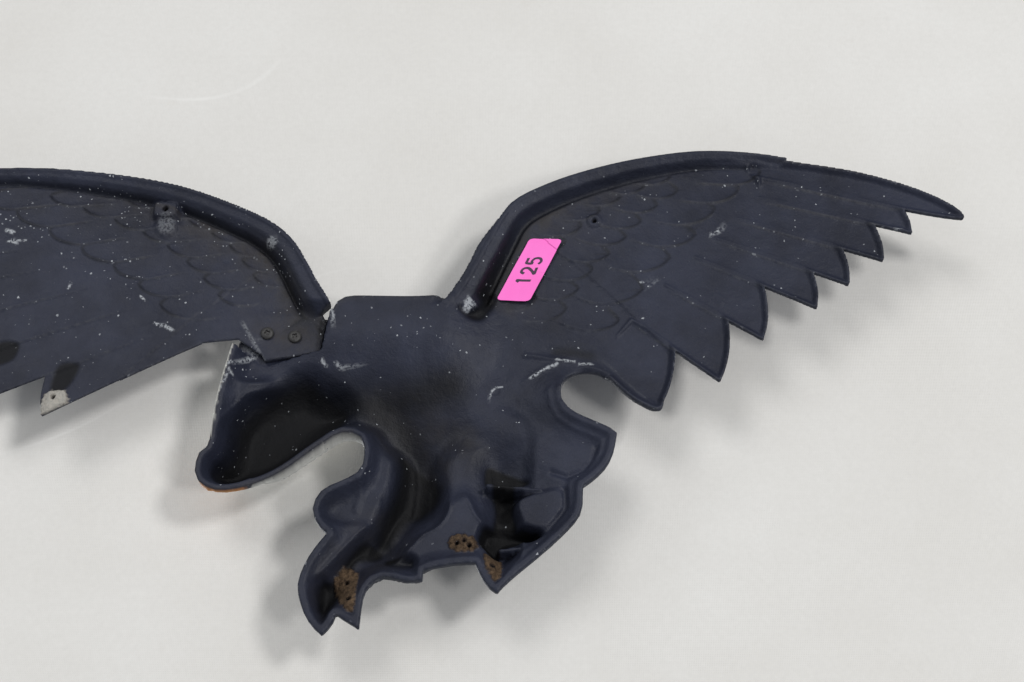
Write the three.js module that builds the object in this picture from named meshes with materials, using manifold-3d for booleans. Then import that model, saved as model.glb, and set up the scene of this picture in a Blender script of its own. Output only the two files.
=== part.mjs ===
// An open-backed cast aluminium eagle, hung on a wall by its back.
//
// The frame: +Z is up, the relief faces -Y and the wall is the plane y = 0. The origin is the middle of
// the flat pad at the shoulders, where the back lies on the wall. A "depth" is a distance in front of
// the wall, so a point at depth d has y = -d. Points in the plane of the wall are [x, z].
import * as THREE from "three";
import { mergeVertices } from "three/addons/utils/BufferGeometryUtils.js";
import Module from "manifold-3d";

const wasm = await Module();
wasm.setup();

// Driving sizes, in millimetres
const WALL = 3; // thickness of the cast metal
const RIM_WIDTH = 3; // the edge that meets the wall
const BODY_WIDTH = 288; // beak to tail tip
const BODY_HEIGHT = 246; // shoulder pad to the lowest claw
const FIXED_WING_SPAN = 380; // shoulder to tip of the wing cast with the body
const FIXED_WING_CHORD = 206; // crest of the leading edge to the lowest feather tip
const BOLTED_WING_SPAN = 452; // notch at the shoulder to the tip of the separate wing
const BOLTED_WING_CHORD = 200;
const ARM_DEPTH = 17.5; // relief of a wing along its arm
const TIP_DEPTH = 8; // relief of a wing at its feather tips
const ARM_FADE = 85; // how fast the relief falls from the arm to the tips
const SHOULDER_RISE = 13; // from the middle of the shoulder pad up to the line of the shoulders
const CLEARANCE = 0.3; // between pieces that touch
const OVERRUN = 6; // how far a cutting solid passes the faces that it cuts
const FACET = 8.1; // spacing of the body's relief points
const CURVE_STEP = 7; // longest step along a curved edge

// Solids from three.js geometry

function toSolid(geometry) {
  const bare = geometry.clone();
  bare.deleteAttribute("normal");
  bare.deleteAttribute("uv");
  const merged = mergeVertices(bare);
  const vertProperties = new Float32Array(merged.attributes.position.array);
  const triVerts = new Uint32Array(merged.index.array);
  return new wasm.Manifold(new wasm.Mesh({ numProp: 3, vertProperties, triVerts }));
}

function toGeometry(solid) {
  const { vertProperties, triVerts } = solid.getMesh();
  const geometry = new THREE.BufferGeometry();
  geometry.setAttribute("position", new THREE.BufferAttribute(vertProperties, 3));
  geometry.setIndex(new THREE.BufferAttribute(triVerts, 1));
  geometry.computeVertexNormals();
  return geometry;
}

// Triangles all wound one way; a solid that comes out inside out is turned
function fromTriangles(points, triangles) {
  const sixfoldVolume = triangles.reduce(
    (sum, [a, b, c]) => sum + points[a].dot(points[b].clone().cross(points[c])),
    0,
  );
  const index = sixfoldVolume < 0 ? triangles.map(([a, b, c]) => [c, b, a]) : triangles;
  const geometry = new THREE.BufferGeometry();
  geometry.setAttribute("position", new THREE.Float32BufferAttribute(points.flatMap((p) => p.toArray()), 3));
  geometry.setIndex(index.flat());
  return toSolid(geometry);
}

const place = (x, z, depth) => new THREE.Vector3(x, -depth, z);

// A slab between two sheets. frontAt(i, j) and backAt(i, j) give its corners for i and j from 0 to 1;
// i runs to the right and j runs upwards as the slab is seen from the front.
function slab(columns, rows, frontAt, backAt) {
  const points = [];
  for (const sheet of [frontAt, backAt]) {
    for (let j = 0; j <= rows; j++) {
      for (let i = 0; i <= columns; i++) {
        points.push(sheet(i / columns, j / rows));
      }
    }
  }
  const sheetSize = (columns + 1) * (rows + 1);
  const index = (i, j, back) => back * sheetSize + j * (columns + 1) + i;
  const triangles = [];
  const quad = (a, b, c, d) => triangles.push([a, b, c], [a, c, d]);
  for (let j = 0; j < rows; j++) {
    for (let i = 0; i < columns; i++) {
      quad(index(i, j, 0), index(i + 1, j, 0), index(i + 1, j + 1, 0), index(i, j + 1, 0));
      quad(index(i, j, 1), index(i, j + 1, 1), index(i + 1, j + 1, 1), index(i + 1, j, 1));
    }
  }
  for (let i = 0; i < columns; i++) {
    quad(index(i, 0, 0), index(i, 0, 1), index(i + 1, 0, 1), index(i + 1, 0, 0));
    quad(index(i, rows, 0), index(i + 1, rows, 0), index(i + 1, rows, 1), index(i, rows, 1));
  }
  for (let j = 0; j < rows; j++) {
    quad(index(0, j, 0), index(0, j + 1, 0), index(0, j + 1, 1), index(0, j, 1));
    quad(index(columns, j, 0), index(columns, j, 1), index(columns, j + 1, 1), index(columns, j + 1, 0));
  }
  return fromTriangles(points, triangles);
}

// A solid with the outline of the points, from one depth to another
function prism(outline, nearDepth, farDepth) {
  const shape = new THREE.Shape(outline.map(([x, z]) => new THREE.Vector2(x, z)));
  const geometry = new THREE.ExtrudeGeometry(shape, { depth: farDepth - nearDepth, bevelEnabled: false });
  geometry.rotateX(Math.PI / 2);
  geometry.translate(0, -nearDepth, 0);
  return toSolid(geometry);
}

// A round solid whose axis runs from the wall to the front
function roundBar([x, z], nearRadius, farRadius, nearDepth, farDepth, sides) {
  const length = farDepth - nearDepth;
  const geometry = new THREE.CylinderGeometry(nearRadius, farRadius, length, sides);
  geometry.translate(x, -(nearDepth + farDepth) / 2, z);
  return toSolid(geometry);
}

// Rings of points joined into one closed solid, with flat ends
function loft(rings) {
  const count = rings[0].length;
  const triangles = [];
  for (let k = 0; k < rings.length - 1; k++) {
    for (let i = 0; i < count; i++) {
      const a = k * count + i;
      const b = k * count + ((i + 1) % count);
      triangles.push([a, b, b + count], [a, b + count, a + count]);
    }
  }
  const last = (rings.length - 1) * count;
  for (const [a, b, c] of sectionFaces(rings[0])) {
    triangles.push([c, b, a]);
  }
  for (const [a, b, c] of sectionFaces(rings[rings.length - 1])) {
    triangles.push([last + a, last + b, last + c]);
  }
  return fromTriangles(rings.flat(), triangles);
}

// The faces that fill one ring, found in the ring's own plane and wound as the ring is
function sectionFaces(ring) {
  const spokes = ring.map((p) => p.clone().sub(ring[0]));
  const normal = new THREE.Vector3();
  for (let i = 1; i < spokes.length - 1; i++) {
    normal.add(spokes[i].clone().cross(spokes[i + 1]));
  }
  const across = spokes[1].clone().normalize();
  const upwards = normal.cross(across).normalize();
  const flat = spokes.map((p) => new THREE.Vector2(p.dot(across), p.dot(upwards)));
  return THREE.ShapeUtils.triangulateShape(flat, []);
}

// Curves in the plane of the wall

function smooth(points, steps) {
  const curve = new THREE.SplineCurve(points.map(([x, z]) => new THREE.Vector2(x, z)));
  return curve.getSpacedPoints(steps).map((p) => [p.x, p.y]);
}

function stroke(points) {
  let length = 0;
  for (let i = 1; i < points.length; i++) {
    length += Math.hypot(points[i][0] - points[i - 1][0], points[i][1] - points[i - 1][1]);
  }
  return smooth(points, Math.max(points.length - 1, Math.ceil(length / CURVE_STEP)));
}

// Strokes that each start where the one before ends make a closed outline
const closed = (strokes) => strokes.flatMap((points) => points.slice(0, -1));

function nearest([x, z], line) {
  let best = { distance: Infinity, share: 0 };
  for (let i = 0; i < line.length - 1; i++) {
    const [ax, az] = line[i];
    const [bx, bz] = line[i + 1];
    const along = ((x - ax) * (bx - ax) + (z - az) * (bz - az)) / ((bx - ax) ** 2 + (bz - az) ** 2);
    const t = THREE.MathUtils.clamp(along, 0, 1);
    const distance = Math.hypot(x - ax - t * (bx - ax), z - az - t * (bz - az));
    if (distance < best.distance) {
      best = { distance, share: (i + t) / (line.length - 1) };
    }
  }
  return best;
}

function inside([x, z], outline) {
  let odd = false;
  outline.forEach(([ax, az], i) => {
    const [bx, bz] = outline[(i + 1) % outline.length];
    if (az > z !== bz > z && x < ax + ((z - az) / (bz - az)) * (bx - ax)) {
      odd = !odd;
    }
  });
  return odd;
}

const mix = THREE.MathUtils.lerp;
const mixPoint = ([ax, az], [bx, bz], t) => [mix(ax, bx, t), mix(az, bz, t)];

// A wing: a swept arm along the leading edge, a floor behind it, and rows of overlapping feathers.
// Each wing is described by shares of its span and chord, measured from its shoulder.

const BAND_ROOT_WIDTH = 22; // the arm's rounded band at the shoulder
const BAND_TIP_WIDTH = 9;
const ROOT_FLAT = 34; // the floor runs level this far behind the band at the shoulder
const ROOT_FLAT_POWER = 4; // how soon along the arm that ends
const FEATHER_OVERLAP = 5; // what a feather hides of the one beside it
const FEATHER_LIFT = 1.5; // how far a feather's upper edge stands proud of its lower edge
const FEATHER_CROWN = 0.9; // swell along the middle of a feather
const ROW_LIFT = 1.2; // each row of coverts stands proud of the row behind it
const BLUNT_SHARE = 0.05; // width left at the very tip of a feather
const STRAIGHT_LEAST_SHARE = 0.2; // of a feather's length, before its end starts
const BAND_STEPS = 22;
const BAND_END_SHARE = 0.97;
const FLOOR_ROWS = 3;

const BAND_LAP_SHARE = 0.9; // of the band's width, where the floor starts to lap it
const BAND_OUTER_SHARES = [[0, 0], [0, 0.45], [0.1, 0.82], [0.32, 0.98], [1, 1]];
const BAND_INNER_SHARES = [[1, 1], [0.42, 0.96], [0.2, 0.8], [0.05, 0.45], [0, 0]];

// The relief of a wing: deepest behind its arm, falling towards the tips of the feathers
function camberOf(edge) {
  return (point) => {
    const { distance, share } = nearest(point, edge);
    const arm = mix(ARM_DEPTH, TIP_DEPTH, share);
    const band = mix(BAND_ROOT_WIDTH, BAND_TIP_WIDTH, share);
    const beyond = Math.max(0, distance - band - ROOT_FLAT * (1 - share) ** ROOT_FLAT_POWER);
    return TIP_DEPTH + (arm - TIP_DEPTH) * Math.exp(-beyond / ARM_FADE);
  };
}

// The arm's band, the space behind it that stays open to the wall, and the space in front of it
function armBand(edge, side) {
  const curve = new THREE.SplineCurve(edge.map(([x, z]) => new THREE.Vector2(x, z)));
  const rings = { metal: [], space: [], front: [] };
  for (let k = 0; k <= BAND_STEPS; k++) {
    const t = (k / BAND_STEPS) * BAND_END_SHARE;
    const p = curve.getPointAt(t);
    const tangent = curve.getTangentAt(t);
    const inward = [tangent.y * side, -tangent.x * side];
    const depth = mix(ARM_DEPTH, TIP_DEPTH, t);
    const width = mix(BAND_ROOT_WIDTH, BAND_TIP_WIDTH, t);
    const at = (across, deep) => place(p.x + inward[0] * across, p.y + inward[1] * across, deep);
    const outer = BAND_OUTER_SHARES.map(([a, d]) => at(a * width, d * depth));
    const cove = BAND_INNER_SHARES.map(([a, d]) => at(mix(RIM_WIDTH, width, a), d * (depth - WALL)));
    rings.metal.push([...outer, ...cove]);
    rings.space.push([at(width, -OVERRUN), ...cove, at(RIM_WIDTH, -OVERRUN)]);
    const lap = BAND_LAP_SHARE * width;
    const proud = [at(lap, depth), at(lap, depth + OVERRUN), at(-OVERRUN, depth + OVERRUN), at(-OVERRUN, 0)];
    rings.front.push([...outer.slice(0, -1), ...proud]);
  }
  return { metal: loft(rings.metal), space: loft(rings.space), front: loft(rings.front) };
}

// One feather. Its lower edge runs straight from root to tip, and its upper edge, a little bowed, lies
// under the lower edge of the next feather until it turns over to the tip.
function featherAt(feather, next, row, camber, side) {
  const [root, tip] = feather;
  const length = Math.hypot(tip[0] - root[0], tip[1] - root[1]);
  const along = [(tip[0] - root[0]) / length, (tip[1] - root[1]) / length];
  const up = [-along[1] * side, along[0] * side];
  const nextAlong = [next[1][0] - next[0][0], next[1][1] - next[0][1]];
  const nextUp = [-nextAlong[1] * side, nextAlong[0] * side];
  const facing = up[0] * nextUp[0] + up[1] * nextUp[1];
  const widthAt = (s) => {
    const start = mixPoint(root, tip, s);
    const room = ((next[0][0] - start[0]) * nextUp[0] + (next[0][1] - start[1]) * nextUp[1]) / facing;
    return Math.max(room, row.leastWidth) + FEATHER_OVERLAP;
  };
  const endFrom = Math.max(STRAIGHT_LEAST_SHARE, 1 - (row.endShare * widthAt(1)) / length);
  const stations = [];
  for (let k = 0; k <= row.straightSteps; k++) {
    stations.push({ s: (endFrom * k) / row.straightSteps, turn: 0 });
  }
  for (let k = 1; k <= row.roundSteps; k++) {
    const left = Math.cos((k / row.roundSteps) * Math.acos(BLUNT_SHARE));
    const reach = (1 - left ** row.fallPower) ** (1 / row.bulgePower);
    stations.push({ s: mix(endFrom, 1, reach), turn: 1 - left });
  }
  const pointAt = (i, j) => {
    const { s, turn } = stations[Math.round(i * (stations.length - 1))];
    const start = mixPoint(root, tip, s);
    const width = widthAt(s);
    const lower = row.hookShare * turn * width;
    const upper = width * (1 - (1 - row.hookShare) * turn);
    const v = mix(lower, upper, j);
    const bow = j * row.bowShare * length * Math.sin(Math.PI * s);
    const x = start[0] + up[0] * (v + bow);
    const z = start[1] + up[1] * (v + bow);
    const lift = FEATHER_LIFT * (j - 0.5) + FEATHER_CROWN * (1 - (2 * j - 1) ** 2);
    return { x, z, depth: camber([x, z]) + lift + row.lift };
  };
  const sheet = (offset) => (i, j) => {
    const p = pointAt(side > 0 ? i : 1 - i, j);
    return place(p.x, p.z, offset(p.depth));
  };
  const front = sheet((depth) => depth);
  const back = sheet((depth) => depth - WALL);
  const open = sheet(() => -OVERRUN);
  const columns = stations.length - 1;
  return {
    blade: slab(columns, row.acrossSteps, front, back),
    space: slab(columns, row.acrossSteps, back, open),
  };
}

// The floor between the arm and the roots of the long feathers. It stands as proud as the first coverts,
// so that no slit is left where they end.
function floorOf(leading, trailing, camber, side) {
  const columns = leading.length - 1;
  const sheet = (thickness) => (i, j) => {
    const k = Math.round((side > 0 ? i : 1 - i) * columns);
    const [x, z] = mixPoint(trailing[k], leading[k], j);
    return place(x, z, camber([x, z]) - thickness);
  };
  return slab(columns, FLOOR_ROWS, sheet(-ROW_LIFT), sheet(WALL - ROW_LIFT));
}

const LONG_FEATHERS = {
  straightSteps: 2,
  roundSteps: 3,
  acrossSteps: 2,
  endShare: 0.57, // length of the end, of the feather's width
  fallPower: 5 / 3, // a lean, pointed end; 2 and 2 make it a quarter of an ellipse
  bulgePower: 1,
  hookShare: 0,
  bowShare: 0.03,
  leastWidth: 12,
  lift: 0,
};
const OUTERMOST_FEATHER = {
  ...LONG_FEATHERS,
  endShare: 4.8,
  fallPower: 2,
  bulgePower: 2,
  hookShare: 0.25,
  roundSteps: 4,
};
const COVERTS = {
  straightSteps: 1,
  roundSteps: 3,
  acrossSteps: 2,
  endShare: 1.1,
  fallPower: 2,
  bulgePower: 2,
  hookShare: 0.3,
  bowShare: 0.02,
  leastWidth: 10,
  lift: ROW_LIFT,
};
const SMALL_COVERTS = { ...COVERTS, acrossSteps: 1, leastWidth: 8, lift: 2 * ROW_LIFT };

function wingSolid(wing) {
  const { side } = wing;
  const camber = camberOf(wing.edge);
  const band = armBand(wing.edge, side);
  let solid = floorOf(wing.floorTop, wing.floorFoot, camber, side);
  for (const { feathers, last, row, lastRow } of wing.rows) {
    feathers.forEach((feather, k) => {
      const next = feathers[k + 1];
      const kind = next ? row : lastRow;
      const { blade, space } = featherAt(feather, next ?? last, kind, camber, side);
      solid = (row.lift > 0 ? solid.subtract(space) : solid).add(blade);
    });
  }
  return { solid: solid.subtract(band.space).subtract(band.front).add(band.metal), band, camber };
}

// Points of the body are shares of its width and height, measured from the line of the shoulders. Points
// of a wing are shares of its span and chord, measured from its own shoulder.

const bodyPoints = (shares) => shares.map(([x, z]) => [x * BODY_WIDTH, SHOULDER_RISE + z * BODY_HEIGHT]);

const wingPoints = (shares, { shoulder, span, chord }) =>
  shares.map(([x, z]) => [shoulder[0] + x * span, shoulder[1] + z * chord]);

const SHOULDER_SHARES = [[-0.132, 0.008], [0.16, 0]];
const [fixedShoulder, boltedShoulder] = bodyPoints(SHOULDER_SHARES);
const fixedFrame = { shoulder: fixedShoulder, span: -FIXED_WING_SPAN, chord: FIXED_WING_CHORD };
const boltedFrame = { shoulder: boltedShoulder, span: BOLTED_WING_SPAN, chord: BOLTED_WING_CHORD };

const FIXED_EDGE_SHARES = [
  [-0.01, -0.05], [0.03, 0.07], [0.07, 0.22], [0.115, 0.365], [0.19, 0.45], [0.285, 0.515],
  [0.385, 0.56], [0.49, 0.585], [0.6, 0.575], [0.7, 0.54],
];
const FIXED_LONG_SHARES = [
  [[0.27, -0.2], [0.385, -0.415]],
  [[0.32, -0.06], [0.5, -0.32]],
  [[0.39, 0.06], [0.585, -0.165]],
  [[0.45, 0.165], [0.69, -0.045]],
  [[0.475, 0.25], [0.755, 0.045]],
  [[0.52, 0.325], [0.825, 0.14]],
  [[0.585, 0.395], [0.885, 0.25]],
  [[0.57, 0.49], [0.985, 0.285]],
];
const FIXED_LONG_LAST_SHARES = [[0.59, 0.53], [1.03, 0.36]];
const FIXED_GREATER_SHARES = [
  [[0.195, -0.07], [0.3, -0.16]],
  [[0.226, 0.03], [0.332, -0.078]],
  [[0.282, 0.146], [0.392, 0.049]],
  [[0.334, 0.243], [0.458, 0.17]],
  [[0.374, 0.32], [0.5, 0.262]],
  [[0.426, 0.4], [0.558, 0.369]],
  [[0.466, 0.47], [0.605, 0.45]],
];
const FIXED_GREATER_LAST_SHARES = [[0.49, 0.525], [0.65, 0.52]];
const FIXED_MEDIAN_SHARES = [
  [[0.132, -0.06], [0.208, -0.107]],
  [[0.147, 0.03], [0.234, -0.02]],
  [[0.171, 0.107], [0.26, 0.05]],
  [[0.2, 0.184], [0.292, 0.117]],
  [[0.232, 0.257], [0.321, 0.18]],
  [[0.268, 0.32], [0.353, 0.248]],
  [[0.308, 0.379], [0.384, 0.311]],
  [[0.353, 0.432], [0.426, 0.37]],
];
const FIXED_MEDIAN_LAST_SHARES = [[0.4, 0.475], [0.484, 0.43]];
const FIXED_FLOOR_TOP_SHARES = [
  [0, -0.06], [0.05, 0.12], [0.1, 0.3], [0.18, 0.42], [0.27, 0.48], [0.37, 0.53], [0.47, 0.555], [0.58, 0.55],
];
const FIXED_FLOOR_FOOT_SHARES = [
  [0.02, -0.2], [0.2, -0.24], [0.3, -0.2], [0.36, -0.06], [0.43, 0.07], [0.49, 0.18], [0.55, 0.28],
  [0.62, 0.42],
];

const BOLTED_EDGE_SHARES = [
  [0, -0.01], [0.022, 0.07], [0.042, 0.155], [0.066, 0.24], [0.106, 0.32], [0.173, 0.395], [0.248, 0.46],
  [0.325, 0.5], [0.403, 0.525], [0.478, 0.54], [0.553, 0.54], [0.64, 0.515], [0.728, 0.46],
];
const BOLTED_LONG_SHARES = [
  [[0.2, -0.155], [0.434, -0.445]],
  [[0.261, -0.115], [0.538, -0.395]],
  [[0.29, -0.005], [0.635, -0.29]],
  [[0.367, 0.065], [0.721, -0.17]],
  [[0.44, 0.14], [0.799, -0.045]],
  [[0.465, 0.22], [0.867, 0.07]],
  [[0.529, 0.3], [0.929, 0.17]],
  [[0.584, 0.38], [0.987, 0.24]],
];
const BOLTED_LONG_LAST_SHARES = [[0.595, 0.46], [1.015, 0.3]];
const BOLTED_GREATER_SHARES = [
  [[0.165, -0.045], [0.262, -0.1]],
  [[0.19, 0.06], [0.3, -0.01]],
  [[0.225, 0.13], [0.345, 0.065]],
  [[0.27, 0.2], [0.4, 0.135]],
  [[0.325, 0.27], [0.457, 0.21]],
  [[0.376, 0.34], [0.515, 0.285]],
  [[0.425, 0.41], [0.575, 0.365]],
];
const BOLTED_GREATER_LAST_SHARES = [[0.46, 0.455], [0.628, 0.43]];
const BOLTED_MEDIAN_SHARES = [
  [[0.102, 0.02], [0.173, -0.03]],
  [[0.119, 0.08], [0.199, 0.03]],
  [[0.142, 0.145], [0.23, 0.1]],
  [[0.168, 0.21], [0.265, 0.165]],
  [[0.204, 0.27], [0.308, 0.23]],
  [[0.248, 0.32], [0.358, 0.285]],
  [[0.296, 0.37], [0.412, 0.34]],
  [[0.347, 0.41], [0.469, 0.39]],
];
const BOLTED_MEDIAN_LAST_SHARES = [[0.374, 0.45], [0.507, 0.44]];
const BOLTED_FLOOR_TOP_SHARES = [
  [0.009, -0.06], [0.035, 0.06], [0.071, 0.19], [0.128, 0.3], [0.23, 0.4], [0.341, 0.455], [0.451, 0.485],
  [0.562, 0.49], [0.673, 0.45],
];
const BOLTED_FLOOR_FOOT_SHARES = [
  [0.015, -0.18], [0.102, -0.2], [0.146, -0.135], [0.22, -0.16], [0.296, -0.06], [0.38, 0.04],
  [0.462, 0.125], [0.507, 0.21], [0.628, 0.35],
];

function wingOf(side, frame, shares) {
  const framed = (points) => wingPoints(points, frame);
  const row = (kind, feathers, last, lastKind = kind) => ({
    row: kind,
    lastRow: lastKind,
    feathers: feathers.map(framed),
    last: framed(last),
  });
  return wingSolid({
    side,
    edge: framed(shares.edge),
    floorTop: framed(shares.floorTop),
    floorFoot: framed(shares.floorFoot),
    rows: [
      row(LONG_FEATHERS, shares.long, shares.longLast, OUTERMOST_FEATHER),
      row(COVERTS, shares.greater, shares.greaterLast),
      row(SMALL_COVERTS, shares.median, shares.medianLast),
    ],
  });
}

const fixedWing = wingOf(-1, fixedFrame, {
  edge: FIXED_EDGE_SHARES,
  floorTop: FIXED_FLOOR_TOP_SHARES,
  floorFoot: FIXED_FLOOR_FOOT_SHARES,
  long: FIXED_LONG_SHARES,
  longLast: FIXED_LONG_LAST_SHARES,
  greater: FIXED_GREATER_SHARES,
  greaterLast: FIXED_GREATER_LAST_SHARES,
  median: FIXED_MEDIAN_SHARES,
  medianLast: FIXED_MEDIAN_LAST_SHARES,
});
const boltedWing = wingOf(1, boltedFrame, {
  edge: BOLTED_EDGE_SHARES,
  floorTop: BOLTED_FLOOR_TOP_SHARES,
  floorFoot: BOLTED_FLOOR_FOOT_SHARES,
  long: BOLTED_LONG_SHARES,
  longLast: BOLTED_LONG_LAST_SHARES,
  greater: BOLTED_GREATER_SHARES,
  greaterLast: BOLTED_GREATER_LAST_SHARES,
  median: BOLTED_MEDIAN_SHARES,
  medianLast: BOLTED_MEDIAN_LAST_SHARES,
});

// The body: head, breast, legs and tail as one deep shell inside one outline

const RELIEF = 44; // the deepest part, at the head
const RELIEF_ROUND = 13; // how far in from the outline the relief still rounds over
const EDGE_SHARE = 0.62; // of the relief that stands at the outline
const BLEND_POWER = 5; // how tightly swells that meet are creased
const DRAFT = 2.6; // rise of the inside wall for each millimetre inwards
const STEEPEST = 2; // thickening of the wall on the steepest slopes
const COVE = 8; // how softly the inside wall runs into the hollow

// Strokes of the outline, from the shoulder notch round the tail, claws, throat and head
const SHOULDER_STROKE_SHARES = [
  [0.152, -0.035], [0.148, -0.018], [0.125, 0.003], [0.095, 0.008], [-0.04, 0.006], [-0.132, 0.012],
];
const UPPER_TAIL_STROKE_SHARES = [
  [-0.41, -0.29], [-0.42, -0.335], [-0.445, -0.36], [-0.49, -0.385], [-0.525, -0.405], [-0.54, -0.42],
];
const TAIL_END_STROKE_SHARES = [
  [-0.54, -0.42], [-0.53, -0.475], [-0.51, -0.52], [-0.48, -0.555], [-0.457, -0.575],
];
const LOWER_TAIL_STROKE_SHARES = [
  [-0.457, -0.575], [-0.455, -0.61], [-0.452, -0.645], [-0.43, -0.685], [-0.36, -0.765], [-0.3, -0.825],
  [-0.268, -0.86],
];
const FAR_CLAW_STROKE_SHARES = [[-0.268, -0.86], [-0.255, -0.878]];
const FAR_SHIN_STROKE_SHARES = [[-0.255, -0.878], [-0.235, -0.86], [-0.218, -0.83], [-0.205, -0.795]];
const PERCH_STROKE_SHARES = [[-0.205, -0.795], [-0.154, -0.798], [-0.086, -0.815], [-0.084, -0.842]];
const SPUR_STROKE_SHARES = [
  [-0.084, -0.842], [-0.05, -0.847], [-0.02, -0.837], [0.005, -0.833], [0.03, -0.845], [0.047, -0.875],
  [0.053, -0.915], [0.057, -0.975],
];
const SPUR_BACK_STROKE_SHARES = [[0.057, -0.975], [0.09, -0.952], [0.11, -0.936]];
const NEAR_CLAW_STROKE_SHARES = [[0.11, -0.936], [0.12, -0.965], [0.14, -0.992]];
const NEAR_FOOT_STROKE_SHARES = [
  [0.14, -0.992], [0.163, -0.968], [0.182, -0.935], [0.196, -0.89], [0.2, -0.855], [0.192, -0.815],
  [0.172, -0.765], [0.139, -0.712],
];
const THROAT_STROKE_SHARES = [
  [0.139, -0.712], [0.162, -0.685], [0.175, -0.65], [0.17, -0.615], [0.152, -0.585], [0.118, -0.565],
  [0.078, -0.54], [0.062, -0.51], [0.061, -0.46], [0.071, -0.43], [0.096, -0.417], [0.125, -0.42],
  [0.15, -0.44], [0.185, -0.47], [0.25, -0.53], [0.306, -0.565], [0.352, -0.582], [0.4, -0.588],
  [0.434, -0.574], [0.455, -0.548], [0.458, -0.513], [0.452, -0.48], [0.434, -0.46],
];
const BROW_STROKE_SHARES = [
  [0.434, -0.46], [0.429, -0.44], [0.427, -0.37], [0.417, -0.275], [0.4, -0.175], [0.392, -0.138],
];
const NECK_STROKE_SHARES = [
  [0.392, -0.138], [0.382, -0.09], [0.333, -0.05], [0.243, -0.03], [0.152, -0.035],
];

// Where the body runs on into the wing there is no edge: its solid ends along the first stroke, and its
// relief is taken as running on as far as the second.
const JOIN_STROKE_SHARES = [
  [-0.132, 0.012], [-0.2, 0.02], [-0.28, -0.03], [-0.36, -0.1], [-0.43, -0.17], [-0.46, -0.23],
  [-0.41, -0.29],
];
const BEYOND_STROKE_SHARES = [
  [-0.132, 0.012], [-0.2, 0.12], [-0.34, 0.1], [-0.46, 0], [-0.55, -0.12], [-0.54, -0.23], [-0.41, -0.29],
];

const bodyStroke = (shares) => stroke(bodyPoints(shares));
const shoulderEdge = bodyStroke(SHOULDER_STROKE_SHARES);
const restEdges = [
  UPPER_TAIL_STROKE_SHARES,
  TAIL_END_STROKE_SHARES,
  LOWER_TAIL_STROKE_SHARES,
  FAR_CLAW_STROKE_SHARES,
  FAR_SHIN_STROKE_SHARES,
  PERCH_STROKE_SHARES,
  SPUR_STROKE_SHARES,
  SPUR_BACK_STROKE_SHARES,
  NEAR_CLAW_STROKE_SHARES,
  NEAR_FOOT_STROKE_SHARES,
  THROAT_STROKE_SHARES,
  BROW_STROKE_SHARES,
  NECK_STROKE_SHARES,
].map(bodyStroke);
const bodyOutline = closed([shoulderEdge, bodyStroke(JOIN_STROKE_SHARES), ...restEdges]);
const reachOutline = closed([shoulderEdge, bodyStroke(BEYOND_STROKE_SHARES), ...restEdges]);
const outlineRun = [...closed(restEdges), ...shoulderEdge];

function insetOf(point) {
  const { distance } = nearest(point, outlineRun);
  return inside(point, reachOutline) ? distance : -distance;
}

// Swells of the relief: two ends in shares of the body's width and height, a radius at each end in
// shares of its width, and a height at each end in shares of its relief.
const SWELL_SHARES = {
  torso: [[-0.05, -0.1], [-0.07, -0.39], 0.28, 0.22, 0.62, 0.74],
  shoulder: [[0.07, -0.06], [0.34, -0.09], 0.16, 0.15, 0.78, 0.74],
  neck: [[0.06, -0.24], [0.29, -0.42], 0.15, 0.125, 0.84, 0.96],
  head: [[0.29, -0.4], [0.385, -0.49], 0.12, 0.08, 1, 0.82],
  beak: [[0.385, -0.5], [0.435, -0.555], 0.06, 0.035, 0.72, 0.45],
  nearThigh: [[-0.05, -0.44], [-0.06, -0.61], 0.13, 0.09, 0.9, 0.78],
  nearShin: [[-0.06, -0.61], [0.02, -0.75], 0.075, 0.06, 0.76, 0.62],
  nearFoot: [[0.02, -0.75], [0.13, -0.875], 0.07, 0.055, 0.62, 0.5],
  nearClaw: [[0.14, -0.87], [0.145, -0.96], 0.035, 0.015, 0.44, 0.26],
  nearSpur: [[0.07, -0.83], [0.062, -0.95], 0.032, 0.012, 0.4, 0.24],
  nearToe: [[0.07, -0.61], [0.14, -0.64], 0.075, 0.05, 0.42, 0.36],
  farThigh: [[-0.24, -0.45], [-0.27, -0.6], 0.125, 0.085, 0.76, 0.66],
  farShin: [[-0.27, -0.6], [-0.27, -0.75], 0.06, 0.05, 0.64, 0.56],
  farClaw: [[-0.265, -0.77], [-0.257, -0.86], 0.045, 0.015, 0.48, 0.24],
  upperTail: [[-0.28, -0.41], [-0.48, -0.47], 0.12, 0.09, 0.42, 0.3],
  lowerTail: [[-0.31, -0.59], [-0.4, -0.72], 0.12, 0.08, 0.42, 0.28],
  perch: [[-0.08, -0.82], [0.03, -0.81], 0.035, 0.035, 0.36, 0.36],
};
const swells = Object.values(SWELL_SHARES).map(([from, to, ...rest]) => ({
  ends: bodyPoints([from, to]),
  radii: rest.slice(0, 2).map((share) => share * BODY_WIDTH),
  heights: rest.slice(2).map((share) => share * RELIEF),
}));

function swellHeight({ ends, radii, heights }, point) {
  const { distance, share } = nearest(point, ends);
  const radius = mix(...radii, share);
  return mix(...heights, share) * Math.sqrt(Math.max(0, 1 - (distance / radius) ** 2));
}

function frontDepth(point) {
  const parts = [fixedWing.camber(point), ...swells.map((swell) => swellHeight(swell, point))];
  const unit = Math.max(...parts);
  const powers = parts.reduce((sum, part) => sum + (part / unit) ** BLEND_POWER, 0);
  const blended = unit * powers ** (1 / BLEND_POWER);
  const rounding = Math.sqrt(THREE.MathUtils.clamp(insetOf(point) / RELIEF_ROUND, 0, 1));
  return blended * mix(EDGE_SHARE, 1, rounding);
}

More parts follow.
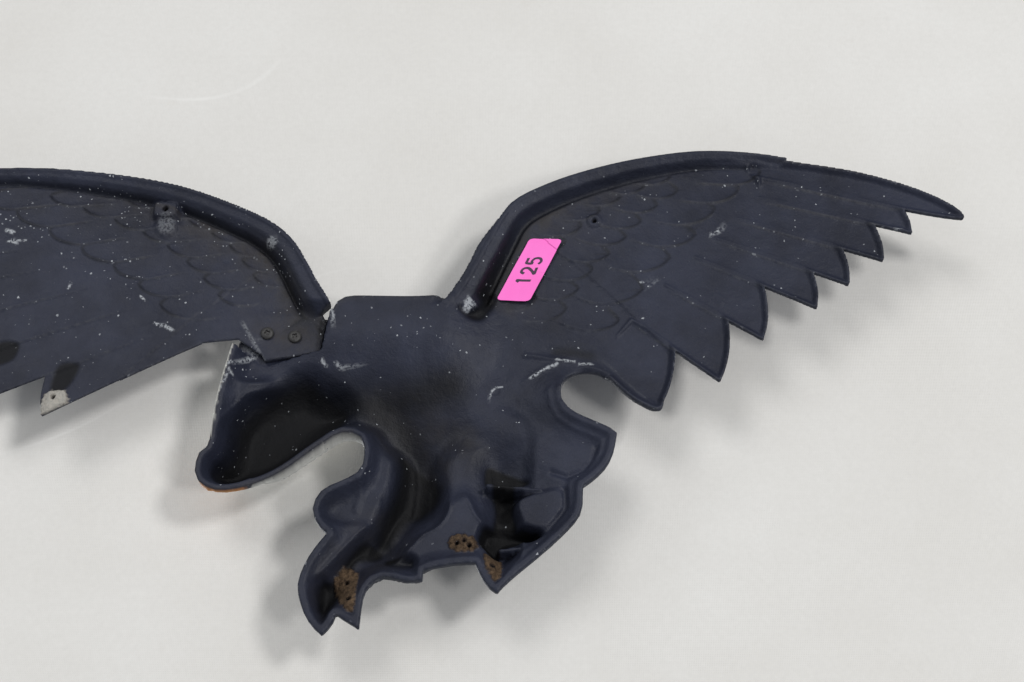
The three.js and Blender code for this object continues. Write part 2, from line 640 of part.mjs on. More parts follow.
function smoothLesser(a, b) {
  const t = THREE.MathUtils.clamp(0.5 + (0.5 * (b - a)) / COVE, 0, 1);
  return mix(b, a, t) - COVE * t * (1 - t);
}

function backDepth([x, z]) {
  const front = frontDepth([x, z]);
  const slopeX = (frontDepth([x + WALL, z]) - front) / WALL;
  const slopeZ = (frontDepth([x, z + WALL]) - front) / WALL;
  const thicker = Math.min(STEEPEST, Math.hypot(1, slopeX, slopeZ));
  return smoothLesser(front - WALL * thicker, (insetOf([x, z]) - RIM_WIDTH) * DRAFT);
}

// A block whose front follows a depth, over the box of an outline
function reliefBlock(outline, depthAt) {
  const xs = outline.map(([x]) => x);
  const zs = outline.map(([, z]) => z);
  const [minX, maxX] = [Math.min(...xs) - FACET, Math.max(...xs) + FACET];
  const [minZ, maxZ] = [Math.min(...zs) - FACET, Math.max(...zs) + FACET];
  const columns = Math.ceil((maxX - minX) / FACET);
  const rows = Math.ceil((maxZ - minZ) / FACET);
  const sheet = (depth) => (i, j) => {
    const point = [mix(minX, maxX, i), mix(minZ, maxZ, j)];
    return place(...point, depth(point));
  };
  const top = RELIEF + OVERRUN;
  return slab(columns, rows, sheet(depthAt), sheet(() => -top));
}

const bodyPrism = prism(bodyOutline, 0, 2 * RELIEF);
const bodyFront = reliefBlock(bodyOutline, frontDepth).intersect(bodyPrism);
const bodyHollow = reliefBlock(reachOutline, backDepth);
const bodySpace = bodyHollow.intersect(prism(bodyOutline, -OVERRUN, 2 * RELIEF));
const bodyShell = bodyFront.subtract(bodyHollow);

// The flat pad at the shoulders, with its top in the plane of the wall
const PAD_WIDTH = 58;
const PAD_HEIGHT = 22;
const PAD_FLARE = 4; // how much wider its foot is on each side

function flaredBlock([x, z], width, height, flare, nearDepth, farDepth) {
  const ring = (grow, depth) =>
    [[-1, -1], [1, -1], [1, 1], [-1, 1]].map(([i, j]) =>
      place(x + i * (width / 2 + grow), z + j * (height / 2 + grow), depth),
    );
  return loft([ring(0, nearDepth), ring(flare, farDepth)]);
}

const wallPad = flaredBlock([0, 0], PAD_WIDTH, PAD_HEIGHT, PAD_FLARE, 0, RELIEF).intersect(bodyFront);

// The lap at the shoulder: the separate wing ends in a flat tab that lies on a seat cast solid in the
// body, and two screws hold it, driven from the back.
const TAB_BACK_DEPTH = 13.4; // from the wall plane to the back of the tab
const TAB_FRONT_DEPTH = ARM_DEPTH + ROW_LIFT + CLEARANCE / 2;
const SEAT_DEPTH = TAB_FRONT_DEPTH + CLEARANCE;
const SCREW_DIAMETER = 4.8;
const SCREW_SIDES = 16;
const HEAD_DIAMETER = 9.4;
const HEAD_HEIGHT = 2.6;
const HEAD_PROFILE_SHARES = [[0.62, 0], [0.9, 0.25], [1, 0.6], [1, 1]]; // of its radius and height
const RECESS_DIAMETER = 3.6;
const RECESS_DEPTH = 1.3;
const SHANK_LENGTH = 15;
const HOLE_BEYOND = 1.5; // how far a screw's hole runs past the end of its shank

const TAB_SHARES = [
  [0.009, -0.07], [0.0155, -0.183], [0.102, -0.215], [0.135, -0.08], [0.1, 0.03], [0.04, 0.03],
];
const LAP_SHARES = [
  [0.004, -0.075], [0.0125, -0.187], [0.102, -0.2195], [0.149, -0.1745], [0.19, -0.2], [0.19, 0.12],
  [0.027, 0.12], [-0.0015, 0.012], [-0.0025, -0.02],
];
const SCREW_SHARES = [[0.1, -0.112], [0.056, -0.125]];
const tab = prism(wingPoints(TAB_SHARES, boltedFrame), TAB_BACK_DEPTH, TAB_FRONT_DEPTH);
const lapOutline = wingPoints(LAP_SHARES, boltedFrame);
const lapSpace = prism(lapOutline, -OVERRUN, SEAT_DEPTH);
const seat = prism(lapOutline, SEAT_DEPTH, RELIEF).intersect(bodyFront);
const screwPlaces = wingPoints(SCREW_SHARES, boltedFrame);

const headDepth = TAB_BACK_DEPTH - CLEARANCE;
const shankEnd = headDepth + SHANK_LENGTH;
const holeRadius = SCREW_DIAMETER / 2 + CLEARANCE;
const screwHole = (point) =>
  roundBar(point, holeRadius, holeRadius, 0, shankEnd + HOLE_BEYOND, SCREW_SIDES);

function screwAt([x, z]) {
  const radius = SCREW_DIAMETER / 2;
  const headRadius = HEAD_DIAMETER / 2;
  const profile = [
    [0, RECESS_DEPTH],
    [RECESS_DIAMETER / 2, RECESS_DEPTH],
    [RECESS_DIAMETER / 2, 0],
    ...HEAD_PROFILE_SHARES.map(([r, y]) => [r * headRadius, y * HEAD_HEIGHT]),
    [radius, HEAD_HEIGHT],
    [radius, HEAD_HEIGHT + SHANK_LENGTH],
    [0, HEAD_HEIGHT + SHANK_LENGTH],
  ];
  const turned = profile.map(([r, y]) => new THREE.Vector2(r, -y)).reverse();
  const geometry = new THREE.LatheGeometry(turned, SCREW_SIDES);
  geometry.translate(x, HEAD_HEIGHT - headDepth, z);
  return toSolid(geometry);
}

// The bosses and webs cast on the backs
const GUSSET_LEG = 15; // the web in the corner between the arm and the shoulder
const GUSSET_THICKNESS = 5;
const HANGER_BOSS_WIDTH = 15;
const HANGER_BOSS_HEIGHT = 10;
const HANGER_BOSS_FLARE = 2;
const HANGER_BOSS_DEPTH = 3; // the top of the block lies this far in front of the wall
const HANGER_HOLE_DIAMETER = 3.6;
const ROUND_BOSS_DIAMETER = 11;
const ROUND_BOSS_PROUD = 3;
const STUD_DIAMETER = 8;
const STUD_DEPTH = 3.5;
const BOSS_SIDES = 14;
const BOSS_TAPER_SHARE = 0.8; // of its foot that the top of a round boss keeps

const BOLTED_BOSS_SHARES = [[0.277, 0.375], [0.1, 0.235]];
const FIXED_BOSS_SHARES = [[0.279, 0.32], [0.03, -0.01]];
const [hangerPlace, studPlace] = wingPoints(BOLTED_BOSS_SHARES, boltedFrame);
const [roundBossPlace, gussetPlace] = wingPoints(FIXED_BOSS_SHARES, fixedFrame);

// A depth that lies in the metal of a wing, under its floor and its coverts alike
const footAt = (camber, point) => camber(point) + ROW_LIFT / 2;

const bossHole = (point, foot) =>
  roundBar(point, HANGER_HOLE_DIAMETER / 2, HANGER_HOLE_DIAMETER / 2, -OVERRUN, foot, BOSS_SIDES);

function roundBoss(point, diameter, top, foot) {
  return roundBar(point, (diameter / 2) * BOSS_TAPER_SHARE, diameter / 2, top, foot, BOSS_SIDES);
}

function gusset() {
  const [x, z] = gussetPlace;
  const ring = (side) => [
    place(x - GUSSET_LEG, z + side * GUSSET_THICKNESS, ARM_DEPTH - WALL / 2),
    place(x, z + side * GUSSET_THICKNESS, WALL),
    place(x, z + side * GUSSET_THICKNESS, ARM_DEPTH - WALL / 2),
  ];
  return loft([ring(-0.5), ring(0.5)]);
}

// Low webs that stiffen the hollow of the tail
const WEB_THICKNESS = 2.6;
const WEB_DEPTH = 8; // from the wall to the top of a web
const TAIL_WEB_SHARES = [
  [[-0.22, -0.555], [-0.39, -0.59]],
  [[-0.21, -0.715], [-0.35, -0.755]],
];

function webBetween([[ax, az], [bx, bz]]) {
  const half = WEB_THICKNESS / 2 / Math.hypot(bx - ax, bz - az);
  const [nx, nz] = [(az - bz) * half, (bx - ax) * half];
  const foot = [[ax - nx, az - nz], [bx - nx, bz - nz], [bx + nx, bz + nz], [ax + nx, az + nz]];
  return prism(foot, WEB_DEPTH, RELIEF).intersect(bodyFront);
}

const hangerBoss = flaredBlock(
  hangerPlace,
  HANGER_BOSS_WIDTH,
  HANGER_BOSS_HEIGHT,
  HANGER_BOSS_FLARE,
  HANGER_BOSS_DEPTH,
  footAt(boltedWing.camber, hangerPlace),
);
const hangerHole = bossHole(hangerPlace, boltedWing.camber(hangerPlace) - WALL / 2);
const stud = roundBoss(studPlace, STUD_DIAMETER, STUD_DEPTH, footAt(boltedWing.camber, studPlace));
const ringFloor = fixedWing.camber(roundBossPlace) - WALL;
const ringFoot = footAt(fixedWing.camber, roundBossPlace);
const ringBoss = roundBoss(roundBossPlace, ROUND_BOSS_DIAMETER, ringFloor - ROUND_BOSS_PROUD, ringFoot);

let wingMetal = boltedWing.solid.add(tab).add(hangerBoss).add(stud).subtract(hangerHole);
let bodyMetal = bodyShell.add(wallPad).subtract(fixedWing.band.space);
bodyMetal = bodyMetal.add(fixedWing.solid.subtract(bodySpace)).add(fixedWing.band.metal);
bodyMetal = bodyMetal.add(ringBoss).subtract(bossHole(roundBossPlace, ringFloor)).add(gusset());
for (const ends of TAIL_WEB_SHARES) {
  bodyMetal = bodyMetal.add(webBetween(bodyPoints(ends)));
}
bodyMetal = bodyMetal.subtract(lapSpace).add(seat);
for (const point of screwPlaces) {
  wingMetal = wingMetal.subtract(screwHole(point));
  bodyMetal = bodyMetal.subtract(screwHole(point));
}

// The paper lot label, stuck to the floor of the wing behind its arm
const LABEL_WIDTH = 26;
const LABEL_LENGTH = 56;
const LABEL_THICKNESS = 0.4;
const LABEL_LIFT = 0.4; // off the metal, so that paper and metal don't touch
const LABEL_LEAN = 0.46; // radians that the label leans from upright
const LABEL_COLUMNS = 3;
const LABEL_ROWS = 6;
const LABEL_SHARES = [[0.155, 0.115]];

function labelSolid() {
  const metal = WALL - ROW_LIFT + FEATHER_LIFT / 2;
  const [[x, z]] = wingPoints(LABEL_SHARES, fixedFrame);
  const [sin, cos] = [Math.sin(LABEL_LEAN), Math.cos(LABEL_LEAN)];
  const sheet = (offset) => (i, j) => {
    const [a, b] = [(i - 0.5) * LABEL_WIDTH, (j - 0.5) * LABEL_LENGTH];
    const point = [x + a * cos - b * sin, z + a * sin + b * cos];
    return place(...point, fixedWing.camber(point) - metal - offset);
  };
  return slab(LABEL_COLUMNS, LABEL_ROWS, sheet(LABEL_LIFT), sheet(LABEL_LIFT + LABEL_THICKNESS));
}

const paint = new THREE.MeshStandardMaterial({ color: 0x23262b, metalness: 0.1, roughness: 0.5 });
const screwPaint = new THREE.MeshStandardMaterial({ color: 0x2b2d30, metalness: 0.4, roughness: 0.45 });
const labelPaper = new THREE.MeshStandardMaterial({ color: 0xff4fb4, metalness: 0, roughness: 0.7 });

const plaque = new THREE.Group();

function addPiece(name, solid, material) {
  const mesh = new THREE.Mesh(toGeometry(solid), material);
  mesh.name = name;
  plaque.add(mesh);
}

addPiece("body_casting", bodyMetal, paint);
addPiece("wing_casting", wingMetal, paint);
addPiece("lot_label", labelSolid(), labelPaper);
screwPlaces.forEach((point, k) => addPiece(`wing_screw_${k + 1}`, screwAt(point), screwPaint));

export default plaque;
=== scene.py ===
# Looks of the cast eagle plaque. Lengths are in millimetres and a depth is a distance in front of the
# wall (y = -depth), as in the part's source; meshes are scaled to metres when they are made.
import math

import bmesh
import bpy
import numpy as np
from mathutils import Matrix, Vector


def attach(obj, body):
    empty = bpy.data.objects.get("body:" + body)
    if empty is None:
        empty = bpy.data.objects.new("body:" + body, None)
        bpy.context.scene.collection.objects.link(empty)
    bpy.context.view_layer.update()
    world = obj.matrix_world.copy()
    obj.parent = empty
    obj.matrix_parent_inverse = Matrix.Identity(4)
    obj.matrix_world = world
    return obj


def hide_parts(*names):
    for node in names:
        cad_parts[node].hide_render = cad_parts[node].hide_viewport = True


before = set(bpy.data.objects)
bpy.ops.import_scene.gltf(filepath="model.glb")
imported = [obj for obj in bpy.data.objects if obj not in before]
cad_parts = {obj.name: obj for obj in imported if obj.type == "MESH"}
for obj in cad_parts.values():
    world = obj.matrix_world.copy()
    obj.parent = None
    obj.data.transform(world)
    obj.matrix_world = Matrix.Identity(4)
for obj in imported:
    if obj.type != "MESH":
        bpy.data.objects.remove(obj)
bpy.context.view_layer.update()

MM = 0.001
BODY_GRID = 1.1  # spacing of a casting's points
WING_GRID = 0.95
BODY_REACH = ((-418, -235), (136, 140))  # two corners of its grid
WING_REACH = ((42, -84), (497, 126))
MOST_TRIANGLES = 190000  # in one piece

# Sizes repeated from the part's source
WALL = 3.0
RIM_WIDTH = 3.0
BODY_WIDTH = 288.0
BODY_HEIGHT = 246.0
FIXED_WING_SPAN = 380.0
FIXED_WING_CHORD = 206.0
BOLTED_WING_SPAN = 452.0
BOLTED_WING_CHORD = 200.0
ARM_DEPTH = 17.5
TIP_DEPTH = 8.0
ARM_FADE = 85.0
SHOULDER_RISE = 13.0
CLEARANCE = 0.3
BAND_ROOT_WIDTH = 22.0
BAND_TIP_WIDTH = 9.0
ROOT_FLAT = 34.0
ROOT_FLAT_POWER = 4
FEATHER_OVERLAP = 5.0
FEATHER_LIFT = 1.5
FEATHER_CROWN = 0.9
ROW_LIFT = 1.2
BAND_END_SHARE = 0.97
CURVE_STEP = 7.0
RELIEF = 44.0
RELIEF_ROUND = 13.0
EDGE_SHARE = 0.62
BLEND_POWER = 5
DRAFT = 1.9
STEEPEST = 2.0
COVE = 13.0
TAB_BACK_DEPTH = 13.4
TAB_FRONT_DEPTH = ARM_DEPTH + ROW_LIFT + CLEARANCE / 2
SEAT_DEPTH = TAB_FRONT_DEPTH + CLEARANCE

BAND_OUTER_SHARES = [[0, 0], [0.0, 0.45], [0.1, 0.82], [0.32, 0.98], [1, 1]]
FIXED_COVE_SHARES = [[0, 0.02], [0.06, 0.12], [0.25, 0.19], [0.44, 0.3], [0.63, 0.68], [0.82, 0.96], [1, 1]]
BOLTED_COVE_SHARES = [[0, 0.02], [0.05, 0.11], [0.4, 0.17], [0.7, 0.25], [0.84, 0.62], [0.95, 0.96], [1, 1]]

FIXED_EDGE_SHARES = [
    [-0.01, -0.05], [0.03, 0.07], [0.07, 0.22], [0.115, 0.365], [0.19, 0.45], [0.285, 0.515],
    [0.385, 0.56], [0.49, 0.585], [0.6, 0.575], [0.7, 0.54],
]
FIXED_LONG_SHARES = [
    [[0.27, -0.2], [0.385, -0.415]], [[0.32, -0.06], [0.5, -0.32]], [[0.39, 0.06], [0.585, -0.165]],
    [[0.45, 0.165], [0.69, -0.045]], [[0.475, 0.25], [0.755, 0.045]], [[0.52, 0.325], [0.825, 0.14]],
    [[0.585, 0.395], [0.885, 0.25]], [[0.57, 0.49], [0.985, 0.285]], [[0.59, 0.53], [1.03, 0.36]],
]
FIXED_GREATER_SHARES = [
    [[0.195, -0.07], [0.3, -0.16]], [[0.226, 0.03], [0.332, -0.078]], [[0.282, 0.146], [0.392, 0.049]],
    [[0.334, 0.243], [0.458, 0.17]], [[0.374, 0.32], [0.5, 0.262]], [[0.426, 0.4], [0.558, 0.369]],
    [[0.466, 0.47], [0.605, 0.45]], [[0.49, 0.525], [0.65, 0.52]],
]
FIXED_MEDIAN_SHARES = [
    [[0.132, -0.06], [0.208, -0.107]], [[0.147, 0.03], [0.234, -0.02]], [[0.171, 0.107], [0.26, 0.05]],
    [[0.2, 0.184], [0.292, 0.117]], [[0.232, 0.257], [0.321, 0.18]], [[0.268, 0.32], [0.353, 0.248]],
    [[0.308, 0.379], [0.384, 0.311]], [[0.353, 0.432], [0.426, 0.37]], [[0.4, 0.475], [0.484, 0.43]],
]
FIXED_LESSER_SHARES = [
    [[0.1, -0.02], [0.155, -0.05]], [[0.105, 0.06], [0.165, 0.025]], [[0.12, 0.13], [0.185, 0.1]],
    [[0.145, 0.2], [0.212, 0.165]], [[0.175, 0.27], [0.245, 0.235]], [[0.21, 0.33], [0.283, 0.298]],
    [[0.255, 0.39], [0.325, 0.36]], [[0.3, 0.44], [0.375, 0.415]], [[0.35, 0.475], [0.43, 0.46]],
    [[0.4, 0.51], [0.48, 0.5]],
]
FIXED_FLOOR_TOP_SHARES = [
    [0, -0.06], [0.05, 0.12], [0.1, 0.3], [0.18, 0.42], [0.27, 0.48], [0.37, 0.53], [0.47, 0.555],
    [0.58, 0.55],
]
FIXED_FLOOR_FOOT_SHARES = [
    [0.02, -0.2], [0.2, -0.24], [0.3, -0.2], [0.36, -0.06], [0.43, 0.07], [0.49, 0.18], [0.55, 0.28],
    [0.62, 0.42],
]
BOLTED_EDGE_SHARES = [
    [0, -0.01], [0.022, 0.07], [0.042, 0.155], [0.066, 0.24], [0.106, 0.32], [0.173, 0.395],
    [0.248, 0.46], [0.325, 0.5], [0.403, 0.525], [0.478, 0.54], [0.553, 0.54], [0.64, 0.515],
    [0.728, 0.46],
]
BOLTED_LONG_SHARES = [
    [[0.2, -0.155], [0.434, -0.445]], [[0.261, -0.115], [0.538, -0.395]], [[0.29, -0.005], [0.635, -0.29]],
    [[0.367, 0.065], [0.721, -0.17]], [[0.44, 0.14], [0.799, -0.045]], [[0.465, 0.22], [0.867, 0.07]],
    [[0.529, 0.3], [0.929, 0.17]], [[0.584, 0.38], [0.987, 0.24]], [[0.595, 0.46], [1.015, 0.3]],
]
BOLTED_GREATER_SHARES = [
    [[0.165, -0.045], [0.262, -0.1]], [[0.19, 0.06], [0.3, -0.01]], [[0.225, 0.13], [0.345, 0.065]],
    [[0.27, 0.2], [0.4, 0.135]], [[0.325, 0.27], [0.457, 0.21]], [[0.376, 0.34], [0.515, 0.285]],
    [[0.425, 0.41], [0.575, 0.365]], [[0.46, 0.455], [0.628, 0.43]],
]
BOLTED_MEDIAN_SHARES = [
    [[0.102, 0.02], [0.173, -0.03]], [[0.119, 0.08], [0.199, 0.03]], [[0.142, 0.145], [0.23, 0.1]],
    [[0.168, 0.21], [0.265, 0.165]], [[0.204, 0.27], [0.308, 0.23]], [[0.248, 0.32], [0.358, 0.285]],
    [[0.296, 0.37], [0.412, 0.34]], [[0.347, 0.41], [0.469, 0.39]], [[0.374, 0.45], [0.507, 0.44]],
]
BOLTED_LESSER_SHARES = [
    [[0.075, 0.08], [0.125, 0.06]], [[0.085, 0.14], [0.145, 0.12]], [[0.1, 0.2], [0.168, 0.18]],
    [[0.13, 0.26], [0.2, 0.24]], [[0.165, 0.31], [0.24, 0.295]], [[0.21, 0.36], [0.29, 0.345]],
    [[0.26, 0.4], [0.345, 0.39]], [[0.31, 0.435], [0.4, 0.43]], [[0.35, 0.46], [0.44, 0.46]],
]
BOLTED_FLOOR_TOP_SHARES = [
    [0.009, -0.06], [0.035, 0.06], [0.071, 0.19], [0.128, 0.3], [0.23, 0.4], [0.341, 0.455],
    [0.451, 0.485], [0.562, 0.49], [0.673, 0.45],
]
BOLTED_FLOOR_FOOT_SHARES = [
    [0.015, -0.18], [0.102, -0.2], [0.146, -0.135], [0.22, -0.16], [0.296, -0.06], [0.38, 0.04],
    [0.462, 0.125], [0.507, 0.21], [0.628, 0.35],
]
TAB_SHARES = [[0.009, -0.07], [0.0155, -0.183], [0.102, -0.215], [0.135, -0.08], [0.1, 0.03], [0.04, 0.03]]
LAP_SHARES = [
    [0.004, -0.075], [0.0125, -0.187], [0.102, -0.2195], [0.149, -0.1745], [0.19, -0.2], [0.19, 0.12],
    [0.027, 0.12], [-0.0015, 0.012], [-0.0025, -0.02],
]
SCREW_SHARES = [[0.1, -0.112], [0.056, -0.125]]

SHOULDER_STROKE_SHARES = [
    [0.152, -0.035], [0.148, -0.018], [0.125, 0.003], [0.095, 0.008], [-0.04, 0.006], [-0.132, 0.012],
]
REST_STROKE_SHARES = [
    [[-0.41, -0.29], [-0.42, -0.335], [-0.445, -0.36], [-0.49, -0.385], [-0.525, -0.405], [-0.54, -0.42]],
    [[-0.54, -0.42], [-0.53, -0.475], [-0.51, -0.52], [-0.48, -0.555], [-0.457, -0.575]],
    [[-0.457, -0.575], [-0.455, -0.61], [-0.452, -0.645], [-0.43, -0.685], [-0.36, -0.765],
     [-0.3, -0.825], [-0.268, -0.86]],
    [[-0.268, -0.86], [-0.255, -0.878]],
    [[-0.255, -0.878], [-0.235, -0.86], [-0.218, -0.83], [-0.205, -0.795]],
    [[-0.205, -0.795], [-0.154, -0.798], [-0.086, -0.815], [-0.084, -0.842]],
    [[-0.084, -0.842], [-0.05, -0.847], [-0.02, -0.837], [0.005, -0.833], [0.03, -0.845],
     [0.047, -0.875], [0.053, -0.915], [0.057, -0.975]],
    [[0.057, -0.975], [0.09, -0.952], [0.11, -0.936]],
    [[0.11, -0.936], [0.12, -0.965], [0.14, -0.992]],
    [[0.14, -0.992], [0.163, -0.968], [0.182, -0.935], [0.196, -0.89], [0.2, -0.855], [0.192, -0.815],
     [0.172, -0.765], [0.139, -0.712]],
    [[0.139, -0.712], [0.162, -0.685], [0.175, -0.65], [0.17, -0.615], [0.152, -0.585],
     [0.118, -0.565], [0.078, -0.54], [0.062, -0.51], [0.061, -0.46], [0.071, -0.43],
     [0.096, -0.417], [0.125, -0.42], [0.15, -0.44], [0.185, -0.47], [0.25, -0.53], [0.306, -0.565],
     [0.352, -0.582], [0.4, -0.588], [0.434, -0.574], [0.455, -0.548], [0.458, -0.513],
     [0.452, -0.48], [0.434, -0.46]],
    [[0.434, -0.46], [0.429, -0.44], [0.427, -0.37], [0.417, -0.275], [0.4, -0.175], [0.392, -0.138]],
    [[0.392, -0.138], [0.382, -0.09], [0.333, -0.05], [0.243, -0.03], [0.152, -0.035]],
]
JOIN_STROKE_SHARES = [
    [-0.132, 0.012], [-0.2, 0.02], [-0.28, -0.03], [-0.36, -0.1], [-0.43, -0.17], [-0.46, -0.23],
    [-0.41, -0.29],
]
BEYOND_STROKE_SHARES = [
    [-0.132, 0.012], [-0.2, 0.12], [-0.34, 0.1], [-0.46, 0], [-0.55, -0.12], [-0.54, -0.23],
    [-0.41, -0.29],
]
SWELL_SHARES = {
    "torso": [[-0.05, -0.1], [-0.07, -0.39], 0.28, 0.22, 0.62, 0.74],
    "shoulder": [[0.07, -0.06], [0.34, -0.09], 0.16, 0.15, 0.78, 0.74],
    "neck": [[0.06, -0.24], [0.29, -0.42], 0.15, 0.125, 0.84, 0.96],
    "head": [[0.29, -0.4], [0.385, -0.49], 0.12, 0.08, 1, 0.82],
    "beak": [[0.385, -0.5], [0.435, -0.555], 0.06, 0.035, 0.72, 0.45],
    "near_thigh": [[-0.05, -0.44], [-0.06, -0.61], 0.13, 0.09, 0.9, 0.78],
    "near_shin": [[-0.06, -0.61], [0.02, -0.75], 0.075, 0.06, 0.76, 0.62],
    "near_foot": [[0.02, -0.75], [0.13, -0.875], 0.07, 0.055, 0.62, 0.5],
    "near_claw": [[0.14, -0.87], [0.145, -0.96], 0.035, 0.015, 0.44, 0.26],
    "near_spur": [[0.07, -0.83], [0.062, -0.95], 0.032, 0.012, 0.4, 0.24],
    "near_toe": [[0.07, -0.61], [0.14, -0.64], 0.075, 0.05, 0.42, 0.36],
    "far_thigh": [[-0.24, -0.45], [-0.27, -0.6], 0.125, 0.085, 0.76, 0.66],
    "far_shin": [[-0.27, -0.6], [-0.27, -0.75], 0.06, 0.05, 0.64, 0.56],
    "far_claw": [[-0.265, -0.77], [-0.257, -0.86], 0.045, 0.015, 0.48, 0.24],
    "upper_tail": [[-0.28, -0.41], [-0.48, -0.47], 0.12, 0.09, 0.42, 0.3],
    "lower_tail": [[-0.31, -0.59], [-0.4, -0.72], 0.12, 0.08, 0.42, 0.28],
    "perch": [[-0.08, -0.82], [0.03, -0.81], 0.035, 0.035, 0.36, 0.36],
}
TAIL_WEB_SHARES = [[[-0.232, -0.565], [-0.358, -0.578]], [[-0.262, -0.753], [-0.343, -0.741]]]
TAB_FLAT_SHARES = [
    [0.003, -0.06], [0.0155, -0.183], [0.102, -0.215], [0.137, -0.075], [0.11, -0.055], [0.05, -0.05],
]
TAB_BEVEL_SHARES = [[0.101, -0.215], [0.14, -0.062]]
TAB_BEVEL = 2.6  # width of the slope beside the screws
TAB_BLEND = 12.0  # width of the slope towards the feathers

GUSSET_SHARES = [[-0.18, 0.021], [-0.166, -0.027], [-0.178, -0.037], [-0.203, -0.011]]
GUSSET_DEPTH = 5.0
PIT_SHARES = [
    [-0.16, -0.022], [-0.18, -0.048], [-0.21, -0.051], [-0.23, -0.022], [-0.245, 0.024], [-0.224, 0.037],
    [-0.205, -0.006], [-0.185, -0.022],
]
PIT_DEPTH = 4.5
FLAT_COVE = 5.0  # how softly a wall meets a flat
RING_SHARES = [[-0.8, 0.005], [-0.25, -0.27]]
RING_RADIUS = 4.2
PAD_SHARES = [0.007, -0.057]  # the middle of the shoulder pad
PAD_HALF = [34.0, 10.0]
PAD_SLOPE = 0.42
PAD_SOFT = 10.0
WEB_DEPTH = 8.0  # the webs in the tail, behind the back's plane
WEB_HALF = 1.2
WEB_SLOPE = 9.0
DEEPEST_BACK = 41.0
MUD_HEIGHT = 4.5
MUD_ROUND = 5.0
MUD_HOLE = 1.5
BAY_RIM_DEPTH = 3.5
BAY_RIM_SLOPE = 0.9
FOOT_FRONT = 8.5  # depths of the foot of the arm
FOOT_BACK = 1.2
TAIL_RIM_HEIGHT = 1.0
TAIL_RIM_INSET = 9.5
THINNEST_WALL = 2.4
THINNEST_EDGE = 1.6
SEAT_WALL = 4.0
BOSS_SHARES = [0.279, 0.32]
BOSS_RADIUS = 5.5
BOSS_HOLE_RADIUS = 1.8
BOSS_HEIGHT = 2.0
HANGER_SHARES = [0.277, 0.375]
HANGER_HALF = [6.5, 4.0]
HANGER_DEPTH = 3.0
HANGER_HOLE_DEPTH = 6.0
STUD_SHARES = [0.1, 0.235]
STUD_DEPTH = 3.5
TIP_RECESS_DEPTH = 0.9
NO_LIMIT = 99.0
EYE_SHARES = [0.352, -0.43]
GROOVE_SHARES = [[-0.4, -0.152], [-0.44, -0.157], [-0.48, -0.17]]
NECK_LINE_SHARES = [[0.2, 0.1], [0.115, -0.1], [0.1, -0.3], [0.03, -0.5]]
BEAK_LINE_SHARES = [[0.46, -0.43], [0.418, -0.455], [0.392, -0.5], [0.3, -0.6]]
# The channel behind an arm: depth of the trough that fades towards the tip, depth of the one at the
# root, how far that one runs as a share of the arm, and how much painted shade it gets
FIXED_TROUGH = (2.2, 4.5, 0.16, 1.0)
BOLTED_TROUGH = (1.8, 0.8, 0.2, 0.5)


# Curves and distances in the plane of the wall


def smoothstep(low, high, value):
    t = np.clip((value - low) / (high - low), 0, 1)
    return t * t * (3 - 2 * t)


def mix(a, b, t):
    return a + (b - a) * t


def bump(distance, width):
    return np.exp(-((distance / width) ** 2))


def curve(points, fine=40):
    """A smooth curve through the points, finely divided."""
    p = np.array([points[0], *points, points[-1]], float)
    t = np.linspace(0, 1, fine, endpoint=False)[:, None]
    runs = []
    for a, b, c, d in zip(p, p[1:], p[2:], p[3:]):
        v, w = (c - a) / 2, (d - b) / 2
        runs.append((2 * b - 2 * c + v + w) * t**3 + (3 * c - 3 * b - 2 * v - w) * t**2 + v * t + b)
    return np.vstack([*runs, p[-1:]])


def spaced(points, count):
    """Points evenly spaced along that curve."""
    line = curve(points)
    lengths = np.concatenate([[0], np.cumsum(np.hypot(*np.diff(line, axis=0).T))])
    at = np.linspace(0, lengths[-1], count + 1)
    return np.stack([np.interp(at, lengths, line[:, 0]), np.interp(at, lengths, line[:, 1])], 1)


def stroke(points):
    steps = np.diff(np.array(points, float), axis=0)
    length = np.hypot(steps[:, 0], steps[:, 1]).sum()
    return spaced(points, max(len(points) - 1, math.ceil(length / CURVE_STEP)))


def closed(strokes):
    return np.vstack([points[:-1] for points in strokes])


def nearest(x, z, line):
    """Distance to a line, the share of it that is nearest, and which side the point is on."""
    best = np.full(x.shape, np.inf)
    share = np.zeros(x.shape)
    side = np.ones(x.shape)
    count = len(line) - 1
    for i in range(count):
        (ax, az), (bx, bz) = line[i], line[i + 1]
        dx, dz = bx - ax, bz - az
        px, pz = x - ax, z - az
        t = np.clip((px * dx + pz * dz) / (dx * dx + dz * dz), 0, 1)
        distance = np.hypot(px - t * dx, pz - t * dz)
        closer = distance < best
        best[closer] = distance[closer]
        share[closer] = (i + t[closer]) / count
        side[closer] = np.sign(dx * pz - dz * px)[closer]
    return best, share, side


def inside(x, z, outline):
    odd = np.zeros(x.shape, bool)
    for (ax, az), (bx, bz) in zip(outline, np.roll(outline, -1, axis=0)):
        if az != bz:
            odd ^= ((az > z) != (bz > z)) & (x < ax + (z - az) / (bz - az) * (bx - ax))
    return odd


def loop(points):
    """A smooth closed curve through the points."""
    p = np.array(points, float)
    return curve(np.vstack([p[-2:], p, p[:2]]), 8)[16:-9]


def signed(x, z, outline):
    """Distance to an outline, more than zero inside it."""
    outline = np.array(outline, float)
    distance = nearest(x, z, np.vstack([outline, outline[:1]]))[0]
    return np.where(inside(x, z, outline), distance, -distance)


def over(below, above, distance, soft=1.1):
    """One surface lying on another, where distance is more than zero inside its edge."""
    return mix(below, above, smoothstep(-soft, soft, distance))


def body_points(shares):
    return [[x * BODY_WIDTH, SHOULDER_RISE + z * BODY_HEIGHT] for x, z in shares]


